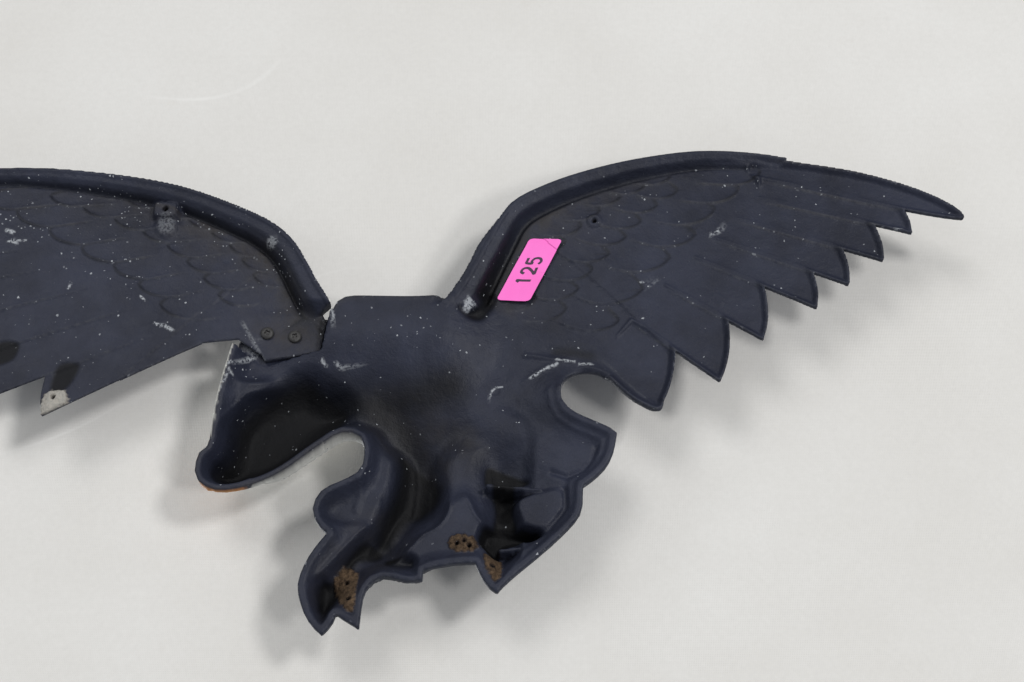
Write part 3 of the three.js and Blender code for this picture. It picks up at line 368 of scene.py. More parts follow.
def wing_points(shares, place):
    (x0, z0), span, chord = place
    return [[x0 + x * span, z0 + z * chord] for x, z in shares]


fixed_shoulder, bolted_shoulder = body_points([[-0.132, 0.008], [0.16, 0]])
FIXED = (fixed_shoulder, -FIXED_WING_SPAN, FIXED_WING_CHORD)
BOLTED = (bolted_shoulder, BOLTED_WING_SPAN, BOLTED_WING_CHORD)


FAR_OUTSIDE = -1000.0


class Relief:
    """A casting as two height fields over one grid: the depth of its front and of its back, how far each
    point lies inside its outline, what is on its surface, and the shade painted into its colour."""

    # painted_shade is shade painted into the colour: in hollows, holes, creases, corners and at feather tips
    LAYERS = ("dust", "speck", "wear", "white", "yellow", "mud", "bare", "painted_shade")

    def __init__(self, corners, spacing):
        low, high = corners
        xs = np.arange(low[0], high[0] + spacing, spacing)
        zs = np.arange(low[1], high[1] + spacing, spacing)
        self.spacing = spacing
        self.x, self.z = np.meshgrid(xs, zs)
        self.inset = np.full(self.x.shape, FAR_OUTSIDE)
        self.front = np.zeros(self.x.shape)
        self.back = np.zeros(self.x.shape)
        self.front_layers = {name: np.zeros(self.x.shape) for name in self.LAYERS}
        self.back_layers = {name: np.zeros(self.x.shape) for name in self.LAYERS}

    def window(self, points, margin):
        """The part of the grid round some points."""
        p = np.array(points, float)
        (x0, z0), (x1, z1) = p.min(0) - margin, p.max(0) + margin
        xs, zs = self.x[0], self.z[:, 0]
        return np.s_[
            np.searchsorted(zs, z0):np.searchsorted(zs, z1), np.searchsorted(xs, x0):np.searchsorted(xs, x1)
        ]

    def from_line(self, line):
        return nearest(self.x, self.z, line)[0]

    def from_point(self, point):
        return np.hypot(self.x - point[0], self.z - point[1])

    def within(self, points):
        """Distance to a smooth closed outline through the points, more than zero inside it."""
        return signed(self.x, self.z, loop(points))

    def mark(self, name, amount):
        """Adds to what is on the back, where there is less of it."""
        self.back_layers[name] = np.maximum(self.back_layers[name], amount)


# Wings

STRAIGHT_LEAST_SHARE = 0.2  # of a feather's length, before its end starts
BLUNT_SHARE = 0.05  # of its width, left at the very tip
LONG = dict(end=0.57, fall=5 / 3, bulge=1, hook=0.0, bow=0.03, least=12, lift=0.0)
COVERT = dict(end=1.1, fall=2, bulge=1.6, hook=0.72, bow=0.02, least=10, lift=1.0)
ROW_KINDS = {
    "long": LONG,
    "outermost": {**LONG, "end": 4.8, "fall": 2, "bulge": 2, "hook": 0.25},
    "greater": COVERT,
    "median": {**COVERT, "least": 8, "lift": 1.9},
    "lesser": {**COVERT, "least": 7, "lift": 2.4},
}
QUILL_SHARE = 0.45  # of a feather's width, from its lower edge to its quill
QUILL_HEIGHT = 0.6
QUILL_WIDTH = 1.2
BARB_PITCH = 3.4
BARB_HEIGHT = 0.16
BEAD_HEIGHT = 0.22  # the ridge on the back along a feather's lower edge
BEAD_WIDTH = 0.9
BACK_STEP_SHARE = 0.55  # of the front's lift and crown, that shows on the back
BACK_LIFT_SHARE = 0.62  # of a row's lift
FLOOR_LIFT_SHARE = 2.2  # of the lift of a row
ROOT_FADE_SHARE = 0.2  # of a feather's length, over which it rises from the metal at its root
FLOOR_FADE = 30.0  # how far in from its foot the floor smooths the long feathers away
DUST_REACH = 22.0
NOT_COVERED = -9.0
EDGE_STATIONS = 72  # points along a wing's edge
ARM_STATIONS = 240  # and along the outline of its arm


class Feather:
    def __init__(self, feather, following, kind, side):
        self.root, self.tip = np.array(feather, float)
        self.kind = kind
        reach = self.tip - self.root
        self.length = float(np.hypot(*reach))
        self.along = reach / self.length
        self.up = np.array([-self.along[1], self.along[0]]) * side
        start, end = np.array(following, float)
        across = end - start
        self.next_up = np.array([-across[1], across[0]]) * side
        self.next_root = start
        last_width = float(self.width(np.array([1.0]))[0])
        self.end_from = max(STRAIGHT_LEAST_SHARE, 1 - kind["end"] * last_width / self.length)
        stations = np.linspace(0, 1, 36) ** 0.7
        lower, upper = self.edges(stations)
        low = self.point(stations, lower)
        high = self.point(stations, upper + self.bow(stations))
        self.outline = np.vstack([low, high[::-1]])

    def width(self, s):
        start = self.root + s[..., None] * (self.tip - self.root)
        room = ((self.next_root - start) @ self.next_up) / (self.up @ self.next_up)
        return np.maximum(room, self.kind["least"]) + FEATHER_OVERLAP

    def edges(self, s):
        width = self.width(s)
        q = np.clip((s - self.end_from) / (1 - self.end_from), 0, 1)
        left = np.maximum(BLUNT_SHARE, (1 - q ** self.kind["bulge"]) ** (1 / self.kind["fall"]))
        hook = self.kind["hook"]
        return hook * (1 - left) * width, width * (1 - (1 - hook) * (1 - left))

    def bow(self, s):
        return self.kind["bow"] * self.length * np.sin(math.pi * np.clip(s, 0, 1))

    def point(self, s, v):
        return self.root + s[:, None] * (self.tip - self.root) + v[:, None] * self.up

    def heights(self, x, z, camber):
        """Depths of the feather's front and back, its signed outline, and how far along it is."""
        px, pz = x - self.root[0], z - self.root[1]
        s = np.clip((px * self.along[0] + pz * self.along[1]) / self.length, 0, 1)
        v = px * self.up[0] + pz * self.up[1]
        lower, upper = self.edges(s)
        upper = upper + self.bow(s)
        j = np.clip((v - lower) / (upper - lower), 0, 1)
        shape = FEATHER_LIFT * (j - 0.5) + FEATHER_CROWN * (1 - (2 * j - 1) ** 2)
        lift = self.kind["lift"] * ROW_LIFT
        off = v - mix(lower, upper, QUILL_SHARE)
        fade = smoothstep(1.02, 0.6, s)
        quill = QUILL_HEIGHT * fade * bump(off, QUILL_WIDTH * mix(1.2, 0.6, s))
        phase = (s * self.length - 0.9 * np.abs(off)) * 2 * math.pi / BARB_PITCH
        barbs = BARB_HEIGHT * np.sin(phase) * smoothstep(0.8, 3, np.abs(off))
        bead = BEAD_HEIGHT * bump(v - lower - BEAD_WIDTH, BEAD_WIDTH) * smoothstep(0.1, 0.5, s)
        distance = signed(x, z, self.outline)
        front = camber + lift + shape + quill + barbs
        back = camber + BACK_LIFT_SHARE * lift + BACK_STEP_SHARE * shape - WALL - bead
        return front, back, distance, s


def camber_at(x, z, edge):
    distance, share, _ = nearest(x, z, edge)
    arm = mix(ARM_DEPTH, TIP_DEPTH, share)
    band = mix(BAND_ROOT_WIDTH, BAND_TIP_WIDTH, share)
    beyond = np.maximum(0, distance - band - ROOT_FLAT * (1 - share) ** ROOT_FLAT_POWER)
    return TIP_DEPTH + (arm - TIP_DEPTH) * np.exp(-beyond / ARM_FADE)


def wing_rows(place, side, tables):
    """The feathers of a wing, row by row. The last place in a row only bounds the feather before it."""
    rows = {}
    for name in ("long", "greater", "median", "lesser"):
        spread = [wing_points(feather, place) for feather in tables[name]]
        kinds = [ROW_KINDS[name]] * (len(spread) - 1)
        if name == "long":
            kinds[-1] = ROW_KINDS["outermost"]
        rows[name] = [Feather(a, b, kind, side) for a, b, kind in zip(spread, spread[1:], kinds)]
    return rows


def laid(below, above, distance, cover):
    """As over, but where nothing lies below yet, the new surface has no lip at its edge."""
    merged = mix(above, over(below, above, distance), smoothstep(-1.5, 1.0, cover))
    return np.where(distance > -2.5, merged, below)


class Plumage:
    """The two faces of a wing while feathers are laid on it, and the lines and painted shade at their edges.
    """

    def __init__(self, relief, camber):
        self.relief = relief
        self.camber = camber
        self.front = camber.copy()
        self.back = camber - WALL
        self.inset = relief.inset
        self.lines = np.zeros(camber.shape)
        self.painted_shade = np.zeros(camber.shape)
        self.front_cover = np.full(camber.shape, NOT_COVERED)
        self.back_cover = np.full(camber.shape, NOT_COVERED)

    def lay(self, feathers):
        """Lays a row, each feather over the next one on the back and under it on the front."""
        x, z = self.relief.x, self.relief.z
        drawn = []
        for feather in feathers:
            w = self.relief.window(feather.outline, 4)
            drawn.append((w, *feather.heights(x[w], z[w], self.camber[w]), feather.kind["lift"]))
        for w, f, _, d, s, _ in reversed(drawn):
            surface = laid(self.front[w], f, d, self.front_cover[w])
            self.front[w] = mix(self.front[w], surface, smoothstep(0, ROOT_FADE_SHARE, s))
            self.front_cover[w] = np.maximum(self.front_cover[w], d)
        for w, _, b, d, s, lift in drawn:
            surface = laid(self.back[w], b, d, self.back_cover[w])
            self.back[w] = mix(self.back[w], surface, smoothstep(0, ROOT_FADE_SHARE, s))
            self.back_cover[w] = np.maximum(self.back_cover[w], d)
            line = smoothstep(1.5, 0.3, np.abs(d)) * smoothstep(1.0, 0.7, s) * smoothstep(0.04, 0.25, s)
            self.lines[w] = over(self.lines[w], line, d + 0.6)
            # Painted shade along the tip of each covert, where its step lies in shadow
            shade = smoothstep(2.0, 0.6, np.abs(d - 0.7)) * smoothstep(0.62, 0.85, s) * min(lift, 1)
            self.painted_shade[w] = over(self.painted_shade[w], shade, d + 0.6)
        return drawn

    def lay_floor(self, top, foot):
        """Smooths the roots of the long feathers away under the floor that carries the coverts."""
        x, z = self.relief.x, self.relief.z
        foot = np.array(foot)
        inset = signed(x, z, np.vstack([top, foot[::-1]]))
        open_edge = np.vstack([foot, top[-1:]])
        smooth = smoothstep(2, FLOOR_FADE, nearest(x, z, open_edge)[0]) * (inset > 0)
        self.back_cover = np.maximum(self.back_cover, inset)
        self.front_cover = np.maximum(self.front_cover, inset)
        self.front = mix(self.front, self.camber + FLOOR_LIFT_SHARE * ROW_LIFT, smooth)
        level = self.camber + BACK_LIFT_SHARE * FLOOR_LIFT_SHARE * ROW_LIFT - WALL
        self.back = mix(self.back, level, smooth)
        self.lines *= 1 - smooth
        self.inset = np.maximum(self.inset, inset)


def arm_strip(edge, side):
    """The outline of the arm: the wing's edge, and a line inside it that closes in on it."""
    line = spaced(edge, ARM_STATIONS)
    along = np.gradient(line, axis=0)
    inward = np.stack([along[:, 1], -along[:, 0]], 1) / np.hypot(*along.T)[:, None] * side
    widths = mix(BAND_ROOT_WIDTH, BAND_TIP_WIDTH, np.linspace(0, 1, ARM_STATIONS + 1))[:, None]
    count = int(ARM_STATIONS * BAND_END_SHARE) + 1
    return np.vstack([line[:count:6], (line + inward * widths)[:count:6][::-1]])


def add_arm(plumage, edge, side, behind, share, tables):
    """Raises the arm along the wing's edge, hollow behind, soils what lies along it, and paints shade into
    its channel and inner corner.
    """
    x, z = plumage.relief.x, plumage.relief.z
    depth = mix(ARM_DEPTH, TIP_DEPTH, share)
    width = mix(BAND_ROOT_WIDTH, BAND_TIP_WIDTH, share)
    inset = signed(x, z, arm_strip(edge, side))
    outer = depth * np.interp(behind / width, *zip(*BAND_OUTER_SHARES))
    cove_at = (behind - RIM_WIDTH) / (width - RIM_WIDTH)
    cove = (depth - WALL) * np.interp(cove_at, *zip(*tables["cove"]))
    long_trough, root_trough, root_run, root_painted_shade = tables["trough"]
    at_root = np.exp(-((share / root_run) ** 2))
    trough = long_trough * (1 - share) + root_trough * at_root
    in_trough = smoothstep(0.4, 0.78, cove_at) * smoothstep(1.02, 0.93, cove_at)
    sunk = smoothstep(0.35, 0.8, cove_at) * FLOOR_LIFT_SHARE * ROW_LIFT
    before_end = smoothstep(BAND_END_SHARE, 0.8, share)
    run = before_end * smoothstep(-1.2, 1.2, inset + 0.4)
    plumage.front = mix(plumage.front, np.maximum(outer, 0.45 * depth) + sunk + in_trough * trough, run)
    plumage.back = mix(plumage.back, cove + BACK_LIFT_SHARE * sunk + in_trough * trough, run)
    plumage.inset = np.maximum(plumage.inset, inset)

    off_arm = 1 - run
    root_side = smoothstep(0.9, 0.2, share)
    near_arm = np.exp(-np.maximum(0, behind - width) / DUST_REACH) * root_side * off_arm
    layers = plumage.relief.back_layers
    layers["wear"] = 0.85 * plumage.lines * off_arm
    layers["dust"] = np.maximum(near_arm, 0.5 * plumage.lines * off_arm * smoothstep(110, 20, behind))
    layers["dust"] = np.maximum(layers["dust"], 0.8 * in_trough * at_root * run)
    # Painted shade in the inner corner of the channel and, towards the root, along the channel
    corner_shade = smoothstep(0.55, 0.95, cove_at) * smoothstep(1.15, 1.0, cove_at) * (0.35 + 0.45 * root_side)
    channel = smoothstep(0.25, 0.6, cove_at) * smoothstep(1.3, 1.0, cove_at)
    corner_shade = np.maximum(corner_shade, root_painted_shade * channel * np.exp(-((share / 0.28) ** 2)))
    layers["painted_shade"] = np.maximum(0.5 * plumage.painted_shade * off_arm, corner_shade * before_end)


def build_wing(relief, place, side, tables):
    """Draws a wing into a relief's depths and layers, and returns where its arm is: how far behind
    the edge each point lies, and its share of the way along."""
    x, z = relief.x, relief.z
    edge = np.array(wing_points(tables["edge"], place))
    away, share, left = nearest(x, z, spaced(edge, EDGE_STATIONS))
    behind = away * np.where(left * side > 0, -1, 1)
    plumage = Plumage(relief, camber_at(x, z, edge))
    rows = wing_rows(place, side, tables)
    for w, _, _, distance, _, _ in plumage.lay(rows["long"]):
        plumage.inset[w] = np.maximum(plumage.inset[w], distance)
    plumage.lay_floor(*(wing_points(tables[name], place) for name in ("floor_top", "floor_foot")))
    for name in ("greater", "median", "lesser"):
        plumage.lay(rows[name])
    add_arm(plumage, edge, side, behind, share, tables)
    relief.front = plumage.front
    relief.back = plumage.back
    relief.inset = plumage.inset
    relief.camber = plumage.camber
    return behind, share


# The body


def body_stroke(shares):
    return stroke(body_points(shares))


shoulder_edge = body_stroke(SHOULDER_STROKE_SHARES)
rest_edges = [body_stroke(shares) for shares in REST_STROKE_SHARES]
body_outline = closed([shoulder_edge, body_stroke(JOIN_STROKE_SHARES), *rest_edges])
reach_outline = closed([shoulder_edge, body_stroke(BEYOND_STROKE_SHARES), *rest_edges])
outline_run = np.vstack([closed(rest_edges), shoulder_edge])


def swell_height(name, x, z):
    start, end, r0, r1, h0, h1 = SWELL_SHARES[name]
    distance, share, _ = nearest(x, z, body_points([start, end]))
    radius = mix(r0, r1, share) * BODY_WIDTH
    return mix(h0, h1, share) * RELIEF * np.sqrt(np.maximum(0, 1 - (distance / radius) ** 2))


def scales(x, z, heading, length, width):
    """Overlapping small feathers that point along a heading: 0 at the root of each, 1 near its end."""
    ux, uz = math.sin(math.radians(heading)), -math.cos(math.radians(heading))
    a = (x * ux + z * uz) / length
    b = (z * ux - x * uz) / width
    best = np.zeros(x.shape)
    for k in (0, 1):
        row = np.floor(a) - k
        offset = b - 0.5 * (row % 2)
        off = offset - np.round(offset)
        reach = a - row
        end = 1.5 - 2.2 * off * off
        rise = (0.25 + 0.75 * reach / 1.5 - 0.5 * off * off) * smoothstep(0, 0.14, end - reach)
        best = np.maximum(best, rise)
    return best


def near(x, z, start, end, radius):
    """1 on a short line of the body, fading to 0 at a radius."""
    distance = nearest(x, z, body_points([start, end]))[0]
    return smoothstep(radius, 0.55 * radius, distance)


def sculpt_body(x, z):
    """Feathers, face and feet on the front of the body."""
    neck = near(x, z, [0.1, -0.2], [0.31, -0.38], 44)
    thighs = np.maximum(
        near(x, z, [-0.05, -0.42], [-0.06, -0.62], 36), near(x, z, [-0.24, -0.42], [-0.27, -0.62], 34)
    )
    torso = near(x, z, [-0.08, -0.12], [-0.08, -0.3], 86) * (1 - neck)
    tail = np.maximum(
        near(x, z, [-0.33, -0.42], [-0.5, -0.46], 34), near(x, z, [-0.33, -0.62], [-0.4, -0.74], 30)
    ) * (1 - thighs)
    shape = 1.5 * torso * (1 - thighs) * scales(x, z, -14, 13, 12)
    shape += 1.5 * neck * scales(x, z, -62, 12, 8)
    shape += 1.5 * thighs * scales(x, z, 4, 12, 10)
    fan = nearest(x, z, body_points([[-0.2, -0.5], [-0.5, -0.6]]))[2]
    lines = np.where(fan > 0, z * 0.96 + x * 0.28, z * 0.86 + x * 0.5)
    shape += tail * (0.8 * np.abs(np.sin(lines * math.pi / 11)) ** 0.5)
    face = 1 - smoothstep(4, 9, nearest(x, z, body_points([[0.33, -0.4], [0.37, -0.46]]))[0] - 14)
    eye_x, eye_z = body_points([EYE_SHARES])[0]
    eye = np.hypot(x - eye_x, z - eye_z)
    brow = nearest(x, z, body_points([[0.325, -0.385], [0.365, -0.385], [0.398, -0.425]]))[0]
    mouth = nearest(x, z, body_points([[0.325, -0.5], [0.37, -0.525], [0.425, -0.545]]))[0]
    cere = nearest(x, z, body_points([[0.418, -0.455], [0.392, -0.5], [0.37, -0.525]]))[0]
    nostril = nearest(x, z, body_points([[0.404, -0.497], [0.412, -0.507]]))[0]
    shape += face * (2.2 * bump(brow, 3.4) - 1.4 * bump(eye, 7.5) + 2.4 * bump(eye, 3.6))
    shape -= 1.5 * bump(mouth, 1.3) + 0.8 * bump(cere, 1.2) + 1.0 * bump(nostril, 1.5)
    for start, end in ([[0.02, -0.75], [0.13, -0.875]], [[-0.27, -0.66], [-0.265, -0.8]]):
        toes = near(x, z, start, end, 17)
        along = (x * 0.6 - z * 0.8) * math.pi / 5.5
        shape += 0.5 * toes * np.abs(np.sin(along))
    return shape


def lesser_of(a, b, soft):
    t = np.clip(0.5 + 0.5 * (b - a) / soft, 0, 1)
    return mix(b, a, t) - soft * t * (1 - t)


# Hollows and flats inside the body: how deep each one is, how soft its edge, and its outline. A flat
# is raised to its depth from what is round it, and a hollow is sunk to it.
FLATS = {
    "beside_neck": (19, 6, [
        [0.43, -0.421], [0.423, -0.315], [0.402, -0.134], [0.334, -0.165], [0.266, -0.183],
        [0.191, -0.165], [0.102, -0.279], [0.189, -0.225], [0.272, -0.255], [0.351, -0.35],
        [0.392, -0.432], [0.433, -0.513],
    ]),
    "toe": (12, 10, [
        [0.067, -0.461], [-0.02, -0.461], [-0.031, -0.56], [-0.01, -0.657], [0.028, -0.696],
        [0.076, -0.676], [0.13, -0.696], [0.171, -0.638], [0.158, -0.57], [0.081, -0.52],
    ]),
    "lower_tail": (8, 3, [
        [-0.301, -0.605], [-0.375, -0.575], [-0.404, -0.58], [-0.414, -0.622], [-0.373, -0.688],
        [-0.319, -0.677],
    ]),
    "upper_tail": (9, 12, [
        [-0.352, -0.38], [-0.441, -0.363], [-0.495, -0.439], [-0.466, -0.507], [-0.402, -0.519],
        [-0.347, -0.462],
    ]),
    "flank": (15, 18, [
        [-0.172, -0.289], [-0.26, -0.247], [-0.36, -0.272], [-0.391, -0.362], [-0.356, -0.44],
        [-0.25, -0.45], [-0.19, -0.397],
    ]),
    "far_thigh": (17, 12, [
        [-0.125, -0.47], [-0.16, -0.42], [-0.23, -0.42], [-0.225, -0.49], [-0.225, -0.537],
        [-0.228, -0.577], [-0.225, -0.635], [-0.212, -0.678], [-0.16, -0.698], [-0.082, -0.731],
        [-0.06, -0.678], [-0.1, -0.64], [-0.13, -0.586],
    ]),
}
HOLLOWS = {
    "head": (41, 8, [
        [0.428, -0.516], [0.389, -0.451], [0.374, -0.36], [0.31, -0.28], [0.222, -0.232],
        [0.168, -0.262], [0.11, -0.307], [0.135, -0.36], [0.19, -0.409], [0.253, -0.471],
        [0.33, -0.521], [0.388, -0.536],
    ]),
    "near_leg": (33, 6, [
        [-0.026, -0.447], [-0.104, -0.522], [-0.113, -0.582], [-0.078, -0.621], [-0.039, -0.641],
        [0.007, -0.718], [0.03, -0.718], [0.013, -0.65], [-0.013, -0.572], [-0.023, -0.502],
    ]),
    "above_web": (25, 2, [
        [-0.225, -0.516], [-0.241, -0.491], [-0.321, -0.534], [-0.313, -0.546], [-0.237, -0.553],
    ]),
    "far_shin": (26, 2, [
        [-0.247, -0.559], [-0.29, -0.563], [-0.291, -0.629], [-0.297, -0.683], [-0.249, -0.683],
        [-0.252, -0.629],
    ]),
    "far_foot": (30, 2, [
        [-0.213, -0.702], [-0.238, -0.673], [-0.349, -0.695], [-0.336, -0.718], [-0.273, -0.726],
        [-0.254, -0.764], [-0.234, -0.75], [-0.214, -0.726],
    ]),
    "near_foot": (24, 3, [
        [0.153, -0.835], [0.126, -0.83], [0.097, -0.773], [0.06, -0.721], [0.019, -0.726],
        [0.028, -0.754], [0.074, -0.769], [0.096, -0.821], [0.117, -0.877], [0.142, -0.923],
        [0.158, -0.904],
    ]),
    "near_claw": (17, 3, [
        [0.162, -0.84], [0.13, -0.85], [0.117, -0.89], [0.14, -0.943], [0.153, -0.93], [0.165, -0.877],
    ]),
    "perch": (16, 2, [[0.003, -0.761], [-0.061, -0.768], [-0.059, -0.8], [-0.006, -0.791]]),
}
# Long creases and ridges on the back: depth added in the middle, half width, and the line
CREASES = [
    (4, 13, [
        [0.135, -0.285], [0.045, -0.264], [-0.032, -0.357], [-0.062, -0.459], [-0.068, -0.559],
        [-0.03, -0.638], [0.015, -0.715],
    ]),
    (2.2, 1.8, [[-0.384, -0.522], [-0.419, -0.539], [-0.459, -0.524], [-0.479, -0.495], [-0.49, -0.455]]),
    (2.4, 1.8, [[-0.415, -0.577], [-0.417, -0.633], [-0.373, -0.697], [-0.328, -0.712]]),
    (1.8, 4.5, [[-0.38, -0.145], [-0.42, -0.147], [-0.46, -0.158]]),
    (-1.3, 1.6, [[-0.32, -0.16], [-0.348, -0.165], [-0.397, -0.178], [-0.444, -0.187], [-0.485, -0.19]]),
    (-0.8, 2.4, [[-0.315, -0.25], [-0.37, -0.205], [-0.407, -0.19]]),
    (-1.6, 2.6, [[0.07, -0.533], [0.066, -0.582], [0.078, -0.631]]),
    (-0.7, 0.9, [[-0.236, -0.263], [-0.24, -0.239], [-0.259, -0.233]]),
    (-0.5, 0.8, [[-0.3, -0.28], [-0.31, -0.31], [-0.306, -0.34]]),
    (-0.5, 0.7, [[-0.405, -0.2], [-0.41, -0.235], [-0.4, -0.26]]),
]
# Metal beside the wing's root: the strip over the bay between wing and tail, and its lower edge, and
# the foot of the arm
BAY_SHARES = [
    [-0.33, -0.13], [-0.5, -0.1], [-0.62, -0.205], [-0.655, -0.31], [-0.638, -0.346], [-0.59, -0.319],
    [-0.558, -0.288], [-0.527, -0.251], [-0.503, -0.233], [-0.474, -0.223], [-0.443, -0.229],
    [-0.42, -0.251], [-0.41, -0.282], [-0.408, -0.323], [-0.36, -0.3],
]
BAY_EDGE_SHARES = BAY_SHARES[4:13]
ARM_FOOT_SHARES = [
    [-0.286, 0.305], [-0.256, 0.268], [-0.229, 0.225], [-0.202, 0.174], [-0.18, 0.114], [-0.162, 0.072],
    [-0.143, 0.036], [-0.128, 0.008], [-0.108, -0.022], [-0.13, -0.05], [-0.2, -0.03], [-0.242, 0.087],
    [-0.259, 0.174], [-0.29, 0.254],
]
OPENING_SHARES = [
    [-0.41, -0.316], [-0.408, -0.282], [-0.416, -0.251], [-0.438, -0.229], [-0.474, -0.223],
    [-0.506, -0.233], [-0.517, -0.257], [-0.49, -0.3], [-0.452, -0.346], [-0.426, -0.34],
]
# Where shade is painted along the soft hollows: how dark, half width, and the line
SHADOWED = [
    (0.85, 15, [[0.15, -0.29], [0.08, -0.305], [0.0, -0.31], [-0.075, -0.28], [-0.137, -0.256]]),
    (0.8, 15, [[0.06, -0.31], [-0.02, -0.37], [-0.06, -0.46], [-0.07, -0.55]]),
    (0.35, 14, [[-0.09, -0.36], [-0.15, -0.42], [-0.2, -0.47]]),
]
MUD_SHARES = [
    ([[0.101, -0.786], [0.07, -0.805], [0.068, -0.851], [0.072, -0.925], [0.097, -0.911],
      [0.124, -0.837]], [[0.093, -0.835], [0.084, -0.89]]),
    ([[-0.141, -0.732], [-0.161, -0.708], [-0.203, -0.718], [-0.206, -0.753], [-0.161, -0.758]],
     [[-0.162, -0.735], [-0.178, -0.728], [-0.19, -0.742]]),
    ([[-0.223, -0.77], [-0.262, -0.77], [-0.262, -0.835], [-0.243, -0.84]], [[-0.245, -0.8]]),
]
WING_MUD_SHARES = ([[0.432, -0.358], [0.405, -0.35], [0.397, -0.403], [0.434, -0.437]], [[0.418, -0.381]])
TIP_RECESS_SHARES = [
    [[0.428, -0.347], [0.419, -0.251], [0.388, -0.243], [0.389, -0.289], [0.405, -0.347]],
    [[0.518, -0.165], [0.485, -0.165], [0.491, -0.231], [0.52, -0.25]],
]
# Places where the paint is knocked off: a short line each, and how wide it is
FIXED_CHIP_SHARES = [
    (0.8, [[0.495, 0.254], [0.512, 0.262], [0.527, 0.286]]), (0.8, [[0.364, 0.07], [0.394, 0.062]]),
    (0.7, [[0.839, 0.262], [0.867, 0.27]]),
]
BOLTED_CHIP_SHARES = [
    (1.0, [[0.277, -0.084], [0.262, -0.093]]), (1.3, [[0.263, -0.09], [0.248, -0.11]]),
    (1.7, [[0.531, 0.292], [0.521, 0.284]]), (0.9, [[0.526, 0.246], [0.512, 0.237]]),
    (0.7, [[0.521, 0.253], [0.498, 0.249]]), (0.9, [[0.42, 0.054], [0.417, 0.073]]),
    (0.9, [[0.304, 0.025], [0.298, 0.012]]),
]
BODY_CHIP_SHARES = [
    (0.9, [[0.176, -0.183], [0.166, -0.201]]), (1.0, [[0.139, -0.197], [0.129, -0.21]]),
    (1.0, [[0.11, -0.197], [0.1, -0.206]]), (0.9, [[0.386, -0.188], [0.378, -0.194]]),
    (0.9, [[0.398, -0.224], [0.39, -0.236]]), (1.3, [[0.366, -0.179], [0.345, -0.149]]),
    (0.8, [[0.402, -0.209], [0.38, -0.191]]), (0.8, [[0.412, -0.281], [0.4, -0.239]]),
    (0.9, [[0.155, -0.09], [0.15, -0.06], [0.158, -0.03]]), (0.8, [[-0.397, -0.178], [-0.444, -0.187]]),
    (1.2, [[-0.335, -0.235], [-0.37, -0.208], [-0.4, -0.193]]), (0.7, [[-0.455, -0.196], [-0.485, -0.197]]),
    (0.6, [[-0.234, -0.292], [-0.24, -0.268], [-0.253, -0.256], [-0.266, -0.257]]),
]
NECK_RIM_SHARES = [[0.398, -0.145], [0.408, -0.257], [0.421, -0.349], [0.429, -0.404]]


def marked(x, z, line, width):
    """1 along a line, fading to 0 just past its width."""
    return smoothstep(1.3 * width, 0.5 * width, nearest(x, z, line)[0])


def shape_hollows(relief, back, front, inset):
    """Raises the flats and sinks the hollows of the body, and paints shade into the hollows."""
    for depth, soft, shares in FLATS.values():
        t = smoothstep(-soft, soft, relief.within(body_points(shares)))
        back[:] = mix(back, lesser_of(back, np.full(back.shape, float(depth)), FLAT_COVE), t)
        if depth < 18:
            front[:] = mix(front, np.minimum(front, depth + 2 * WALL), t)
    for depth, soft, shares in HOLLOWS.values():
        distance = relief.within(body_points(shares))
        t = smoothstep(-soft, 2.6 * soft, distance + 0.5 * soft)
        deep = np.minimum(depth, np.maximum(0, inset - RIM_WIDTH) * 6)
        back[:] = mix(back, np.maximum(back, deep), t)
        # Painted shade in each hollow, where it lies deeper than 9 mm
        hollow_shade = smoothstep(-1.3 * soft, 0.6 * soft, distance) * smoothstep(9, 20, back)
        relief.mark("painted_shade", 0.98 * hollow_shade)
    for depth, width, shares in CREASES:
        back += depth * bump(relief.from_line(body_points(shares)), width)


def add_chips(relief, chips):
    for width, line in chips:
        relief.mark("bare", marked(relief.x, relief.z, line, width))


def extend_root(relief):
    """Adds the strip over the bay and the foot of the arm to the fixed wing, and returns how far each
    point lies inside that foot, and where the foot's edge is."""
    bay = relief.within(body_points(BAY_SHARES))
    arm_foot = relief.within(body_points(ARM_FOOT_SHARES))
    level = relief.camber - WALL - 0.5 * BACK_STEP_SHARE * FEATHER_LIFT
    back = mix(relief.back, level, smoothstep(-1, 3, bay) * smoothstep(6, 1, relief.inset))
    from_rim = relief.from_line(body_points(BAY_EDGE_SHARES))
    rim = BAY_RIM_DEPTH + BAY_RIM_SLOPE * np.maximum(0, from_rim - 1)
    back = mix(back, lesser_of(back, rim, 4), smoothstep(-2, 3, bay))
    foot_edge = smoothstep(-1, 1, arm_foot) * smoothstep(1.5, 0, relief.inset)
    relief.back = mix(back, FOOT_BACK, foot_edge)
    relief.front = mix(relief.front, FOOT_FRONT, foot_edge)
    relief.inset = np.maximum(relief.inset, np.maximum(bay, arm_foot))
    return arm_foot, foot_edge


